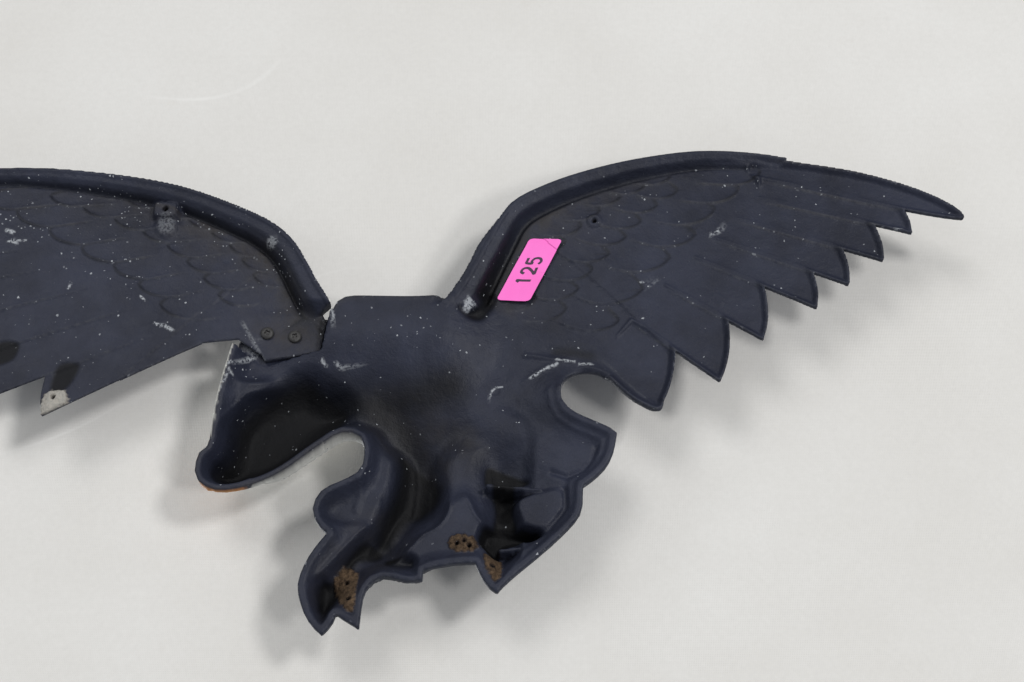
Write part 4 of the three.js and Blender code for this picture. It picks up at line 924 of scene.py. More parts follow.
def body_depths(relief):
    """Depths of the body's front and back, as far as they reach below the root of the wing."""
    x, z = relief.x, relief.z
    run_distance = relief.from_line(outline_run)
    inset = np.where(inside(x, z, reach_outline), run_distance, -run_distance)
    parts = np.array([relief.camber, *(swell_height(name, x, z) for name in SWELL_SHARES)])
    unit = parts.max(0)
    blended = unit * ((parts / unit) ** BLEND_POWER).sum(0) ** (1 / BLEND_POWER)
    rounding = np.sqrt(np.clip(inset / RELIEF_ROUND, 0, 1))
    front = blended * mix(EDGE_SHARE, 1, rounding)
    slope_z, slope_x = np.gradient(front, relief.spacing)
    thicker = np.minimum(STEEPEST, np.sqrt(1 + slope_x**2 + slope_z**2))
    back = lesser_of(front - WALL * thicker, (inset - RIM_WIDTH) * DRAFT, COVE)
    front = front + sculpt_body(x, z) * smoothstep(1, 6, inset)

    # A soft ramp from the shoulder pad, and a gentle wall beside the bay
    pad_x, pad_z = body_points([PAD_SHARES])[0]
    pad = np.hypot(
        np.maximum(0, np.abs(x - pad_x) - PAD_HALF[0]), np.maximum(0, np.abs(z - pad_z) - PAD_HALF[1])
    )
    back = lesser_of(back, 0.2 + PAD_SLOPE * (np.sqrt(pad**2 + PAD_SOFT**2) - PAD_SOFT), 6)
    beside_bay = near(x, z, [-0.37, -0.2], [-0.52, -0.4], 42)
    gentle = lesser_of(back, 1.2 + 0.5 * np.maximum(0, inset - 2), 5)
    back = mix(back, gentle, beside_bay)
    shape_hollows(relief, back, front, inset)

    # The webs and the rim of the tail
    for ends in TAIL_WEB_SHARES:
        web = relief.from_line(body_points(ends))
        back = np.minimum(back, WEB_DEPTH + WEB_SLOPE * np.maximum(0, web - WEB_HALF))
    tail_zone = smoothstep(-60, -75, x) * smoothstep(-50, -60, z)
    back -= TAIL_RIM_HEIGHT * tail_zone * bump(inset - TAIL_RIM_INSET, 1.6)
    back = np.maximum(back, 0)
    return np.maximum(front, np.minimum(back, DEEPEST_BACK) + THINNEST_WALL), back


def join_body(relief, body_inset, arm_foot, foot_edge):
    """Runs the wing's depths into the body's, and cuts the bay's opening."""
    body_front, body_back = body_depths(relief)
    held = smoothstep(-1, 5, np.maximum(relief.inset, arm_foot + 6))
    t = 1 - (1 - smoothstep(-9, 9, body_inset)) * held
    relief.front = mix(relief.front, np.maximum(body_front, relief.front - 2 * t), t)
    relief.back = mix(relief.back, body_back, t)
    relief.back = mix(relief.back, np.minimum(relief.back, 2), foot_edge * smoothstep(8, 0, body_inset))
    opening = relief.within(body_points(OPENING_SHARES))
    relief.inset = np.minimum(np.maximum(body_inset, relief.inset), -opening)


def add_gusset(relief):
    """The gusset in the corner between the arm and the shoulder, and the pit round it, with shade painted
    into the pit.
    """
    gusset = signed(relief.x, relief.z, np.array(body_points(GUSSET_SHARES)))
    relief.back = mix(relief.back, np.minimum(relief.back, GUSSET_DEPTH), smoothstep(-1.5, 0.5, gusset))
    relief.mark("bare", 0.9 * smoothstep(-0.3, 1.0, gusset))
    pit = relief.within(body_points(PIT_SHARES)) - 3 * smoothstep(0, 3, gusset + 2)
    relief.back += PIT_DEPTH * smoothstep(-4, 4, pit)
    # Painted shade in the pit, kept off the gusset
    relief.mark("painted_shade", 0.9 * smoothstep(-4, 2, pit))
    relief.back_layers["painted_shade"] *= smoothstep(1.0, -0.8, gusset)


def add_boss(relief):
    """A round boss with a hole, on the back of the fixed wing, with shade painted into the hole."""
    distance = relief.from_point(wing_points([BOSS_SHARES], FIXED)[0])
    top = relief.back - BOSS_HEIGHT * smoothstep(BOSS_RADIUS + 1.2, BOSS_RADIUS - 1.2, distance)
    hole = smoothstep(BOSS_HOLE_RADIUS + 0.5, BOSS_HOLE_RADIUS - 0.5, distance)
    relief.back = top + 4 * hole
    # Painted shade in the hole
    relief.mark("painted_shade", hole)


def cut_seat(relief):
    """The seat that the tab of the screwed-on wing lies in."""
    lap = signed(relief.x, relief.z, np.array(wing_points(LAP_SHARES, BOLTED)))
    relief.back = over(relief.back, np.full(lap.shape, SEAT_DEPTH), lap, 0.6)
    relief.front = np.maximum(relief.front, np.where(lap > -1, SEAT_DEPTH + SEAT_WALL, 0))


def soil_and_shade_body(relief, body_inset, behind, share):
    """Dust, painted shade, specks and chips on the body's back, and the white that shows along the neck."""
    x, z = relief.x, relief.z
    on_body = smoothstep(0, 10, body_inset)
    breast = near(x, z, [-0.12, -0.44], [-0.02, -0.34], 34)
    claws = near(x, z, [0.02, -0.72], [0.14, -0.9], 30)
    dirt = np.maximum(0.45 * breast * smoothstep(8, 20, relief.back), 0.3 * claws)
    relief.mark("dust", on_body * dirt)
    # Painted shade where the back lies deepest, along the soft hollows, and in the groove by the wing's fold
    relief.mark("painted_shade", 0.4 * smoothstep(26, 40, relief.back) * on_body)
    for amount, width, shares in SHADOWED:
        soft_shade = amount * bump(relief.from_line(body_points(shares)), width)
        relief.mark("painted_shade", soft_shade * on_body)
    relief.mark("painted_shade", 0.6 * bump(relief.from_line(body_points(GROOVE_SHARES)), 4))
    fold = near(x, z, [-0.3, -0.15], [-0.47, -0.2], 26)
    neck = near(x, z, [0.36, -0.12], [0.42, -0.45], 18)
    arm = np.exp(-np.maximum(0, behind - 20) / 30) * smoothstep(0.5, 0.05, share)
    specks = np.maximum(np.maximum(0.6 * fold, 0.7 * neck), np.maximum(0.6 * arm, 0.35 * breast))
    relief.back_layers["speck"] = np.maximum(0.22, specks)
    add_chips(relief, [(width, wing_points(shares, FIXED)) for width, shares in FIXED_CHIP_SHARES])
    add_chips(relief, [(width, body_points(shares)) for width, shares in BODY_CHIP_SHARES])
    rim_line = marked(x, z, body_points(NECK_RIM_SHARES), 3.2) * smoothstep(1.2, 0.6, relief.inset)
    relief.back_layers["white"] = rim_line


def paint_head(relief):
    """The white head and the yellow beak on the front, each up to a line with the colour on one side."""
    x, z = relief.x, relief.z
    distance, _, side = nearest(x, z, body_points(NECK_LINE_SHARES))
    wobble = 3 * np.sin(z * 0.5 + 1) + 2 * np.sin(x * 0.7 + z * 0.3)
    white = smoothstep(-2, 2, distance * side + wobble)
    distance, _, side = nearest(x, z, body_points(BEAK_LINE_SHARES))
    yellow = smoothstep(-1, 1, distance * side)
    head = smoothstep(0, 20, x) * smoothstep(-104, -98, z + 0.69 * np.maximum(0, x - 17))
    relief.front_layers["white"] = white * head * (1 - yellow * smoothstep(70, 90, x))
    relief.front_layers["yellow"] = yellow * smoothstep(95, 100, x) * head


def build_body_casting():
    relief = Relief(BODY_REACH, BODY_GRID)
    tables = dict(
        edge=FIXED_EDGE_SHARES, long=FIXED_LONG_SHARES, greater=FIXED_GREATER_SHARES,
        median=FIXED_MEDIAN_SHARES, lesser=FIXED_LESSER_SHARES, floor_top=FIXED_FLOOR_TOP_SHARES,
        floor_foot=FIXED_FLOOR_FOOT_SHARES, trough=FIXED_TROUGH, cove=FIXED_COVE_SHARES,
    )
    behind, share = build_wing(relief, FIXED, -1, tables)
    arm_foot, foot_edge = extend_root(relief)
    body_inset = signed(relief.x, relief.z, body_outline)
    for name in ("wear", "dust", "painted_shade"):
        relief.back_layers[name] *= smoothstep(6, -6, body_inset) * (1 - foot_edge)
    join_body(relief, body_inset, arm_foot, foot_edge)
    add_gusset(relief)
    add_boss(relief)
    for centre in body_points(RING_SHARES):
        relief.back -= 0.45 * bump(relief.from_point(centre) - RING_RADIUS, 0.8)
    cut_seat(relief)
    for outline, holes in MUD_SHARES:
        add_mud(relief, body_points(outline), body_points(holes))
    soil_and_shade_body(relief, body_inset, behind, share)
    paint_head(relief)
    return finish_relief(relief)


def add_mud(relief, outline, holes):
    """A lump of dried mud with small round holes, left on the back by a wasp, with shade painted into the
    holes.
    """
    x, z = relief.x, relief.z
    d = relief.within(outline) + 0.5 * np.sin(x * 1.3) + 0.4 * np.sin(z * 1.7 + x * 0.4)
    cover = smoothstep(-0.6, 0.8, d)
    lump = MUD_HEIGHT * np.sqrt(np.clip(d / MUD_ROUND, 0, 1)) + 0.5 * np.sin(x * 1.1) * np.sin(z * 1.3)
    # Painted shade inside each hole
    painted_shade = np.zeros(x.shape)
    for centre in holes:
        hole = relief.from_point(centre)
        lump -= 4 * smoothstep(MUD_HOLE + 0.6, MUD_HOLE - 0.4, hole) - 0.5 * bump(hole - MUD_HOLE - 0.7, 0.6)
        painted_shade = np.maximum(painted_shade, smoothstep(MUD_HOLE + 0.4, MUD_HOLE - 0.4, hole))
    relief.back -= cover * lump
    layers = relief.back_layers
    layers["mud"] = np.maximum(layers["mud"], cover * (1 - painted_shade))
    layers["painted_shade"] = np.maximum(layers["painted_shade"] * (1 - cover), painted_shade)


def shape_tab(relief):
    """Flattens the tab, and wears the slope beside the screws. Returns where the tab is raised."""
    x, z = relief.x, relief.z
    lap, tab, flat = (
        signed(x, z, np.array(wing_points(shares, BOLTED)))
        for shares in (LAP_SHARES, TAB_SHARES, TAB_FLAT_SHARES)
    )
    relief.front = np.minimum(relief.front, np.where(lap > -2, TAB_FRONT_DEPTH, NO_LIMIT))
    relief.front = np.where(tab > -2, TAB_FRONT_DEPTH, relief.front)
    distance, _, side = nearest(x, z, wing_points(TAB_BEVEL_SHARES, BOLTED))
    from_bevel = distance * side
    raised = smoothstep(-TAB_BLEND, 0, flat) * smoothstep(-TAB_BEVEL, 0.3, from_bevel)
    relief.back = mix(relief.back, TAB_BACK_DEPTH, raised)
    relief.inset = np.maximum(relief.inset, tab)
    strip = smoothstep(2.0, 0.8, np.abs(from_bevel + 1)) * smoothstep(-6, 2, flat)
    ends = smoothstep(1.2, 0.3, np.abs(tab - 0.2)) * smoothstep(54, 48, x)
    relief.mark("wear", strip)
    relief.mark("bare", np.maximum(0.35 * strip, 0.6 * ends))
    return raised * smoothstep(2, 5, flat)


def add_hanger(relief):
    """The block with a hole that the plaque hangs by, on a lump of metal, with shade painted into the hole,
    and the stud by the tab.
    """
    centre_x, centre_z = wing_points([HANGER_SHARES], BOLTED)[0]
    x, z = relief.x - centre_x, relief.z - centre_z
    block = np.hypot(np.maximum(0, np.abs(x) - HANGER_HALF[0]), np.maximum(0, np.abs(z) - HANGER_HALF[1]))
    lumpy = 1 + 0.5 * np.sin(relief.x * 0.9) * np.sin(relief.z * 0.8)
    block_top = HANGER_DEPTH + 2.6 * np.maximum(0, block - 1.0) + 0.35 * lumpy
    skirt = np.hypot(x + 1, (z + 11) * 0.8)
    lump_top = relief.back - (2.2 + lumpy) * smoothstep(11, 5, skirt)
    hole = smoothstep(2.3, 1.4, np.hypot(x, z))
    relief.back = np.minimum(lump_top, block_top) + HANGER_HOLE_DEPTH * hole
    # Painted shade kept off the block, and laid in its hole
    relief.back_layers["painted_shade"] *= smoothstep(4, 8, block)
    relief.mark("painted_shade", hole)
    relief.mark("bare", 0.25 * smoothstep(8, 4, skirt))
    stud = relief.from_point(wing_points([STUD_SHARES], BOLTED)[0])
    relief.back = np.minimum(relief.back, STUD_DEPTH + 3 * np.maximum(0, stud - 3) + 0.06 * stud**2)
    relief.mark("bare", 0.45 * smoothstep(5.0, 3.2, stud))


def build_wing_casting():
    relief = Relief(WING_REACH, WING_GRID)
    tables = dict(
        edge=BOLTED_EDGE_SHARES, long=BOLTED_LONG_SHARES, greater=BOLTED_GREATER_SHARES,
        median=BOLTED_MEDIAN_SHARES, lesser=BOLTED_LESSER_SHARES, floor_top=BOLTED_FLOOR_TOP_SHARES,
        floor_foot=BOLTED_FLOOR_FOOT_SHARES, trough=BOLTED_TROUGH, cove=BOLTED_COVE_SHARES,
    )
    behind, _ = build_wing(relief, BOLTED, 1, tables)
    dusty_tab = shape_tab(relief)
    add_hanger(relief)
    # Recesses at two feather tips, with shade painted into them
    for shares in TIP_RECESS_SHARES:
        recess = smoothstep(-1.5, 2.5, relief.within(wing_points(shares, BOLTED)))
        relief.back += TIP_RECESS_DEPTH * recess
        relief.mark("painted_shade", 0.9 * recess)
    add_mud(relief, *(wing_points(shares, BOLTED) for shares in WING_MUD_SHARES))
    layers = relief.back_layers
    layers["dust"] = np.clip(layers["dust"] + 0.85 * dusty_tab, 0, 1)
    layers["speck"] = 0.45 + 0.85 * np.exp(-np.maximum(0, behind - 14) / 55)
    layers["white"] = 0.5 * layers["mud"]
    add_chips(relief, [(width, wing_points(shares, BOLTED)) for width, shares in BOLTED_CHIP_SHARES])
    return finish_relief(relief)


def finish_relief(relief):
    """Keeps the back off the wall and off the front, and wears the outer edge."""
    relief.back = np.minimum(np.maximum(relief.back, 0), relief.front - THINNEST_EDGE)
    for side in (relief.front_layers, relief.back_layers):
        side["wear"] = np.maximum(side["wear"], 0.7 * smoothstep(2.0, 0, relief.inset))
    return relief


# Meshes of the reliefs

FRONT_ROUND = 1.5  # radius of the edges
BACK_ROUND = 0.9
LAYER_GROUPS = {
    "surface": ("dust", "speck", "wear"),
    "paint": ("white", "yellow", "mud"),
    # The metal group holds bare metal and painted shade
    "metal": ("bare", "painted_shade"),
}


def covered_cells(relief):
    """The cells of the grid that the piece fills."""
    held = relief.inset >= -0.5 * relief.spacing
    cells = held[:-1, :-1] & held[1:, :-1] & held[:-1, 1:] & held[1:, 1:]
    for _ in range(3):
        cells = without_pinches(cells)
    return largest_only(cells)


def rounded(inset, radius):
    """How far a rounded edge falls away."""
    share = 1 - np.clip(inset / radius, 0, 1)
    return radius * (1 - np.sqrt(1 - share * share))


def wall_faces(quads, count):
    """Faces of the walls between the rims of front and back, in three bands, and the points of the rim."""
    edges = np.concatenate([quads[:, [k, (k + 1) % 4]] for k in range(4)])
    keys = edges[:, 0].astype(np.int64) * count + edges[:, 1]
    reverse = edges[:, 1].astype(np.int64) * count + edges[:, 0]
    free = edges[~np.isin(keys, reverse)]
    rim_ids = np.unique(free)
    place = -np.ones(count, int)
    place[rim_ids] = np.arange(len(rim_ids))
    a, b = free[:, 0], free[:, 1]
    pa, pb = place[a], place[b]
    first, second = 2 * count, 2 * count + len(rim_ids)
    walls = np.concatenate([
        np.stack([b, a, first + pa, first + pb], 1),
        np.stack([first + pb, first + pa, second + pa, second + pb], 1),
        np.stack([second + pb, second + pa, count + a, count + b], 1),
    ])
    return walls, rim_ids


def mesh_from(relief, name):
    """One closed mesh of a relief: its front, its back and the walls between them."""
    h = relief.spacing
    cells = covered_cells(relief)
    corners = np.zeros(relief.x.shape, int)
    for a, b in ((0, 0), (1, 0), (0, 1), (1, 1)):
        corners[a:a + cells.shape[0], b:b + cells.shape[1]] += cells
    used = corners > 0
    rim = used & (corners < 4)

    # The rim's points move out to the outline
    grad_z, grad_x = np.gradient(relief.inset, h)
    steep = np.maximum(grad_x**2 + grad_z**2, 0.3)
    move = np.clip(relief.inset, -h, h)
    x = np.where(rim, relief.x - grad_x * move / steep, relief.x)
    z = np.where(rim, relief.z - grad_z * move / steep, relief.z)
    inset = np.where(rim, 0, np.maximum(relief.inset, 0.25 * h))
    front = relief.front - rounded(inset, FRONT_ROUND) * 0.8
    back = relief.back + rounded(inset, BACK_ROUND) * 0.6
    back = np.minimum(back, front - 1.2)

    count = int(used.sum())
    index = -np.ones(used.shape, int)
    index[used] = np.arange(count)
    quads = np.stack([index[:-1, :-1], index[:-1, 1:], index[1:, 1:], index[1:, :-1]], -1)[cells]
    walls, rim_ids = wall_faces(quads, count)
    front_points, back_points = (np.stack([x[used], -depth[used], z[used]], 1) for depth in (front, back))
    step = np.minimum(1.0, 0.3 * (front[used] - back[used]))[rim_ids]
    inward = np.stack([0 * step, step, 0 * step], 1)
    points = np.concatenate([
        front_points, back_points, front_points[rim_ids] + inward, back_points[rim_ids] - inward,
    ])
    mesh = quad_mesh(name, points, np.concatenate([quads, quads[:, ::-1] + count, walls]))
    for group, names in LAYER_GROUPS.items():
        set_attribute(mesh, group, [layered(relief, layer, used, rim_ids) for layer in names])
    return linked(name, mesh)


def quad_mesh(name, points, faces):
    mesh = bpy.data.meshes.new(name)
    mesh.vertices.add(len(points))
    mesh.vertices.foreach_set("co", (points * MM).astype(np.float32).ravel())
    mesh.loops.add(faces.size)
    mesh.loops.foreach_set("vertex_index", faces.astype(np.int32).ravel())
    mesh.polygons.add(len(faces))
    mesh.polygons.foreach_set("loop_start", np.arange(0, faces.size, 4, dtype=np.int32))
    mesh.polygons.foreach_set("loop_total", np.full(len(faces), 4, np.int32))
    mesh.update(calc_edges=True)
    mesh.validate()
    mesh.polygons.foreach_set("use_smooth", np.ones(len(faces), bool))
    return mesh


def linked(name, data):
    """An object in the scene."""
    piece = bpy.data.objects.new(name, data)
    bpy.context.scene.collection.objects.link(piece)
    return piece


def closed_piece(name, points, faces):
    """An object from points in millimetres, with its faces turned outwards."""
    mesh = bpy.data.meshes.new(name)
    mesh.from_pydata([tuple(c * MM for c in p) for p in points], [], faces)
    mesh.validate()
    turned = bmesh.new()
    turned.from_mesh(mesh)
    bmesh.ops.recalc_face_normals(turned, faces=turned.faces)
    turned.to_mesh(mesh)
    turned.free()
    return linked(name, mesh)


def layered(relief, name, used, rim_ids):
    front = relief.front_layers[name][used]
    back = relief.back_layers[name][used]
    return np.concatenate([front, back, front[rim_ids], 0.5 * (front + back)[rim_ids]])


def set_attribute(mesh, name, channels):
    layer = mesh.attributes.new(name, "FLOAT_COLOR", "POINT")
    values = np.ones((len(mesh.vertices), 4), np.float32)
    for k, channel in enumerate(channels):
        values[:, k] = np.clip(channel, 0, 1)
    layer.data.foreach_set("color", values.ravel())


def without_pinches(cells):
    """Takes out cells that meet another only at a corner."""
    padded = np.pad(cells, 1)
    a, b = padded[:-1, :-1], padded[:-1, 1:]
    c, d = padded[1:, :-1], padded[1:, 1:]
    falling = a & d & ~b & ~c
    rising = b & c & ~a & ~d
    out = padded.copy()
    out[:-1, :-1][falling] = False
    out[:-1, 1:][rising] = False
    return out[1:-1, 1:-1]


def largest_only(cells):
    """Keeps the cells that join up with the middle of the fullest row."""
    reached = np.zeros(cells.shape, bool)
    row = int(cells.sum(1).argmax())
    reached[row, int(np.median(np.nonzero(cells[row])[0]))] = True
    reached &= cells
    if not reached.any():
        return cells
    while True:
        grown = reached.copy()
        for view, allowed in ((grown, cells), (grown.T, cells.T)):
            spread_down(view, allowed)
            spread_down(view[::-1], allowed[::-1])
        if (grown == reached).all():
            return grown
        reached = grown


def spread_down(reached, allowed):
    for k in range(1, len(reached)):
        reached[k] |= reached[k - 1] & allowed[k]


def thin(piece):
    """Takes out the triangles that the smooth places can spare."""
    triangles = 2 * len(piece.data.polygons)
    modifier = piece.modifiers.new("thin", "DECIMATE")
    modifier.ratio = min(1, MOST_TRIANGLES / triangles)
    ready = piece.evaluated_get(bpy.context.evaluated_depsgraph_get())
    mesh = bpy.data.meshes.new_from_object(ready)
    mesh.name = piece.name
    piece.modifiers.clear()
    piece.data = mesh


body_piece = mesh_from(build_body_casting(), "eagle_body_cast")
wing_piece = mesh_from(build_wing_casting(), "eagle_wing_cast")
for piece, node in ((body_piece, "body_casting"), (wing_piece, "wing_casting")):
    thin(piece)
    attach(piece, "root")
    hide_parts(node)


# Materials


class Nodes:
    def __init__(self, name):
        self.material = bpy.data.materials.new(name)
        self.material.use_nodes = True
        self.tree = self.material.node_tree
        self.tree.nodes.clear()

    def add(self, kind, inputs=None, **settings):
        node = self.tree.nodes.new(kind)
        for key, value in settings.items():
            setattr(node, key, value)
        for key, value in (inputs or {}).items():
            if isinstance(value, bpy.types.NodeSocket):
                self.tree.links.new(value, node.inputs[key])
            else:
                node.inputs[key].default_value = value
        return node

    def math(self, operation, a, b=0.0, clamp=False):
        node = self.add("ShaderNodeMath", {0: a, 1: b}, operation=operation, use_clamp=clamp)
        return node.outputs[0]

    def blend(self, factor, a, b):
        return self.add("ShaderNodeMix", {0: factor, 6: a, 7: b}, data_type="RGBA").outputs[2]

    def noise(self, scale, detail=3.0, roughness=0.5):
        return self.add(
            "ShaderNodeTexNoise",
            {"Vector": self.where(), "Scale": scale, "Detail": detail, "Roughness": roughness},
        ).outputs["Fac"]

    def where(self):
        if not hasattr(self, "_where"):
            self._where = self.add("ShaderNodeTexCoord").outputs["Object"]
        return self._where

    def warp(self):
        """A small push to and fro, that makes round spots ragged."""
        if not hasattr(self, "_warp"):
            noise = self.add("ShaderNodeTexNoise", {"Vector": self.where(), "Scale": 600.0, "Detail": 2.0})
            centred = self.add(
                "ShaderNodeVectorMath", {0: noise.outputs["Color"], 1: (0.5, 0.5, 0.5)}, operation="SUBTRACT"
            )
            self._warp = self.add(
                "ShaderNodeVectorMath", {0: centred.outputs[0], "Scale": 0.0022}, operation="SCALE"
            ).outputs[0]
        return self._warp

    def ramp(self, value, low, high):
        node = self.add(
            "ShaderNodeMapRange", {"Value": value, "From Min": low, "From Max": high}, clamp=True
        )
        return node.outputs[0]

    def bump(self, height, distance, strength=1.0, normal=None):
        inputs = {"Height": height, "Distance": distance, "Strength": strength}
        if normal:
            inputs["Normal"] = normal
        return self.add("ShaderNodeBump", inputs).outputs[0]

    def finish(self, **inputs):
        named = {key.replace("_", " "): value for key, value in inputs.items()}
        shader = self.add("ShaderNodeBsdfPrincipled", named)
        self.add("ShaderNodeOutputMaterial", {"Surface": shader.outputs[0]})
        return self.material


DEEP_PAINT = (0.0125, 0.0145, 0.0255, 1)
PALE_PAINT = (0.0255, 0.0295, 0.0500, 1)
SCUFFED_PAINT = (0.057, 0.060, 0.072, 1)
WHITE_PAINTS = ((0.60, 0.59, 0.54, 1), (0.80, 0.79, 0.74, 1))
BEAK_PAINTS = ((0.60, 0.20, 0.04, 1), (0.75, 0.34, 0.08, 1))
DUST_COLOUR = (0.044, 0.038, 0.031, 1)
PAINTED_SHADE_COLOUR = (0.0012, 0.0012, 0.0016, 1)
BARE_COLOUR = (0.40, 0.42, 0.45, 1)
MUD_COLOURS = ((0.022, 0.013, 0.008, 1), (0.135, 0.088, 0.052, 1))
# Specks of two sizes: how fine their pattern is, their radius in it, and how many places have one
SPECKS = ((430.0, 0.34, 0.42), (170.0, 0.21, 0.26))


def casting_material():
    n = Nodes("cast_black_paint")
    channels = []
    for name in LAYER_GROUPS:
        colour = n.add("ShaderNodeAttribute", attribute_name=name).outputs["Color"]
        channels.extend(n.add("ShaderNodeSeparateColor", {0: colour}).outputs)
    dust, speck, wear, white, yellow, mud, bare, painted_shade, _ = channels
    broad = n.noise(14, 4)
    medium = n.noise(90, 4, 0.6)
    fine = n.noise(700, 3, 0.6)
    mottled = n.math("ADD", n.math("MULTIPLY", broad, 0.6), n.math("MULTIPLY", n.noise(48, 5, 0.7), 0.4))
    black = n.blend(n.ramp(mottled, 0.36, 0.64), DEEP_PAINT, PALE_PAINT)
    scuffed = n.math("MULTIPLY", wear, n.ramp(n.noise(210, 4, 0.65), 0.35, 0.7), clamp=True)
    black = n.blend(scuffed, black, SCUFFED_PAINT)
    dusty = n.math("MULTIPLY", dust, n.ramp(n.noise(60, 5, 0.65), 0.28, 0.66), clamp=True)
    colour = n.blend(n.math("MULTIPLY", dusty, 0.75), black, DUST_COLOUR)
    # Painted shade in hollows, holes, corners and at feather tips, near black
    colour = n.blend(n.math("MULTIPLY", painted_shade, 0.97), colour, PAINTED_SHADE_COLOUR)
    chalk = n.blend(medium, *WHITE_PAINTS)
    chipped = n.ramp(n.noise(300, 3, 0.6), 0.26, 0.36)
    colour = n.blend(yellow, colour, n.blend(medium, *BEAK_PAINTS))

    # Specks of two sizes, in clusters, and chips
    clustered = n.math("MULTIPLY", speck, n.ramp(n.noise(42, 3, 0.6), 0.40, 0.66))
    marks = []
    for scale, size, share in SPECKS:
        bent = n.add("ShaderNodeVectorMath", {0: n.where(), 1: n.warp()}, operation="ADD").outputs[0]
        cells = n.add("ShaderNodeTexVoronoi", {"Vector": bent, "Scale": scale, "Randomness": 1.0})
        parts = n.add("ShaderNodeSeparateColor", {0: cells.outputs["Color"]}).outputs
        radius = n.math("MULTIPLY", parts[1], size)
        dots = n.ramp(n.math("SUBTRACT", radius, cells.outputs["Distance"]), 0.0, 0.05)
        limit = n.math("SUBTRACT", 1.0, n.math("MULTIPLY", clustered, share))
        chosen = n.math("GREATER_THAN", parts[0], limit)
        marks.append(n.math("MULTIPLY", n.math("MULTIPLY", dots, chosen), n.ramp(parts[2], -0.4, 0.8)))
    ragged = n.ramp(n.noise(520, 3, 0.6), 0.40, 0.52)
    marks.append(n.math("MULTIPLY", bare, ragged, clamp=True))
    nicks = n.ramp(n.noise(260, 2, 0.6), 0.66, 0.70)
    marks.append(n.math("MULTIPLY", nicks, n.math("MULTIPLY", wear, 0.5)))
    chips = n.math("MAXIMUM", n.math("MAXIMUM", marks[0], marks[1]), n.math("MAXIMUM", marks[2], marks[3]))
    colour = n.blend(n.math("MULTIPLY", chips, 0.85), colour, BARE_COLOUR)
    earth = n.blend(n.ramp(n.noise(330, 5, 0.75), 0.32, 0.68), *MUD_COLOURS)
    colour = n.blend(mud, colour, earth)
    colour = n.blend(n.math("MULTIPLY", white, chipped), colour, chalk)
    rough = n.math("ADD", 0.40, n.math("MULTIPLY", medium, 0.2))
    rough = n.math("MAXIMUM", rough, n.math("MULTIPLY", n.math("MAXIMUM", dusty, mud), 0.85))
    rough = n.math("MAXIMUM", rough, n.math("MULTIPLY", painted_shade, 0.7))
    grain = n.bump(fine, 0.0005, 0.5)
    lumps = n.bump(n.noise(120, 4, 0.6), 0.0022, 0.45, grain)
    crust = n.bump(n.math("MULTIPLY", n.noise(420, 4, 0.7), mud), 0.002, 0.8, lumps)
    return n.finish(Base_Color=colour, Roughness=rough, Normal=crust, Specular_IOR_Level=0.24)


casting = casting_material()
for piece in (body_piece, wing_piece):
    piece.data.materials.append(casting)


# Screws, label

SCREW_RADIUS = 4.7
SCREW_HEIGHT = 2.6
# Radius and depth below the top, from the head's edge to the end of the shank
SCREW_PROFILE = [(4.7, 2.2), (4.6, 2.6), (2.4, 2.6), (2.4, 17.4), (1.6, 17.6)]
RINGS = 30
SPOKES = 72


def screw_piece(number, centre):
    """A pan head with a worn cross recess, on a plain shank."""
    x0, z0 = centre
    top = TAB_BACK_DEPTH - CLEARANCE - SCREW_HEIGHT
    turn = 0.4 + 0.9 * number
    angles = np.linspace(0, 2 * math.pi, SPOKES, endpoint=False)
    rings = []
    for r in np.linspace(0.02, 1, RINGS):
        radius = r * SCREW_RADIUS
        x, z = radius * np.cos(angles), radius * np.sin(angles)
        a, b = x * math.cos(turn) + z * math.sin(turn), z * math.cos(turn) - x * math.sin(turn)
        arm = np.maximum(smoothstep(0.75, 0.45, np.abs(a)) * smoothstep(2.2, 1.5, np.abs(b)),
                         smoothstep(0.75, 0.45, np.abs(b)) * smoothstep(2.2, 1.5, np.abs(a)))
        well = smoothstep(1.35, 0.9, np.hypot(a, b))
        crown = SCREW_HEIGHT * 0.75 * (1 - np.sqrt(np.maximum(0, 1 - (r**3.2) * 0.98)))
        depth = top + crown + 1.25 * np.maximum(arm, well)
        rings.append(np.stack([x0 + x, -depth, z0 + z], 1))
    for radius, depth in SCREW_PROFILE:
        x, z = radius * np.cos(angles), radius * np.sin(angles)
        rings.append(np.stack([x0 + x, np.full(SPOKES, -(top + depth)), z0 + z], 1))
    faces = []
    for k in range(len(rings) - 1):
        for i in range(SPOKES):
            j = (i + 1) % SPOKES
            faces.append((k * SPOKES + i, (k + 1) * SPOKES + i, (k + 1) * SPOKES + j, k * SPOKES + j))
    last = (len(rings) - 1) * SPOKES
    faces.append(tuple(range(SPOKES)))
    faces.append(tuple(last + i for i in reversed(range(SPOKES))))
    piece = closed_piece(f"pan_head_screw_{number}", np.concatenate(rings), faces)
    for polygon in piece.data.polygons:
        polygon.use_smooth = True
    return piece


def screw_material():
    n = Nodes("screw_worn_paint")
    fine = n.noise(900, 3, 0.6)
    worn = n.ramp(n.noise(450, 4, 0.65), 0.56, 0.68)
    colour = n.blend(fine, (0.016, 0.016, 0.018, 1), (0.034, 0.032, 0.030, 1))
    colour = n.blend(n.math("MULTIPLY", worn, 0.7), colour, (0.08, 0.08, 0.078, 1))
    normal = n.bump(fine, 0.0003, 0.4)
    rough = n.math("ADD", 0.4, n.math("MULTIPLY", fine, 0.3))
    return n.finish(Base_Color=colour, Roughness=rough, Normal=normal)


screw_paint = screw_material()
for number, centre in enumerate(wing_points(SCREW_SHARES, BOLTED), 1):
    piece = screw_piece(number, centre)
    piece.data.materials.append(screw_paint)
    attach(piece, "root")
    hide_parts(f"wing_screw_{number}")

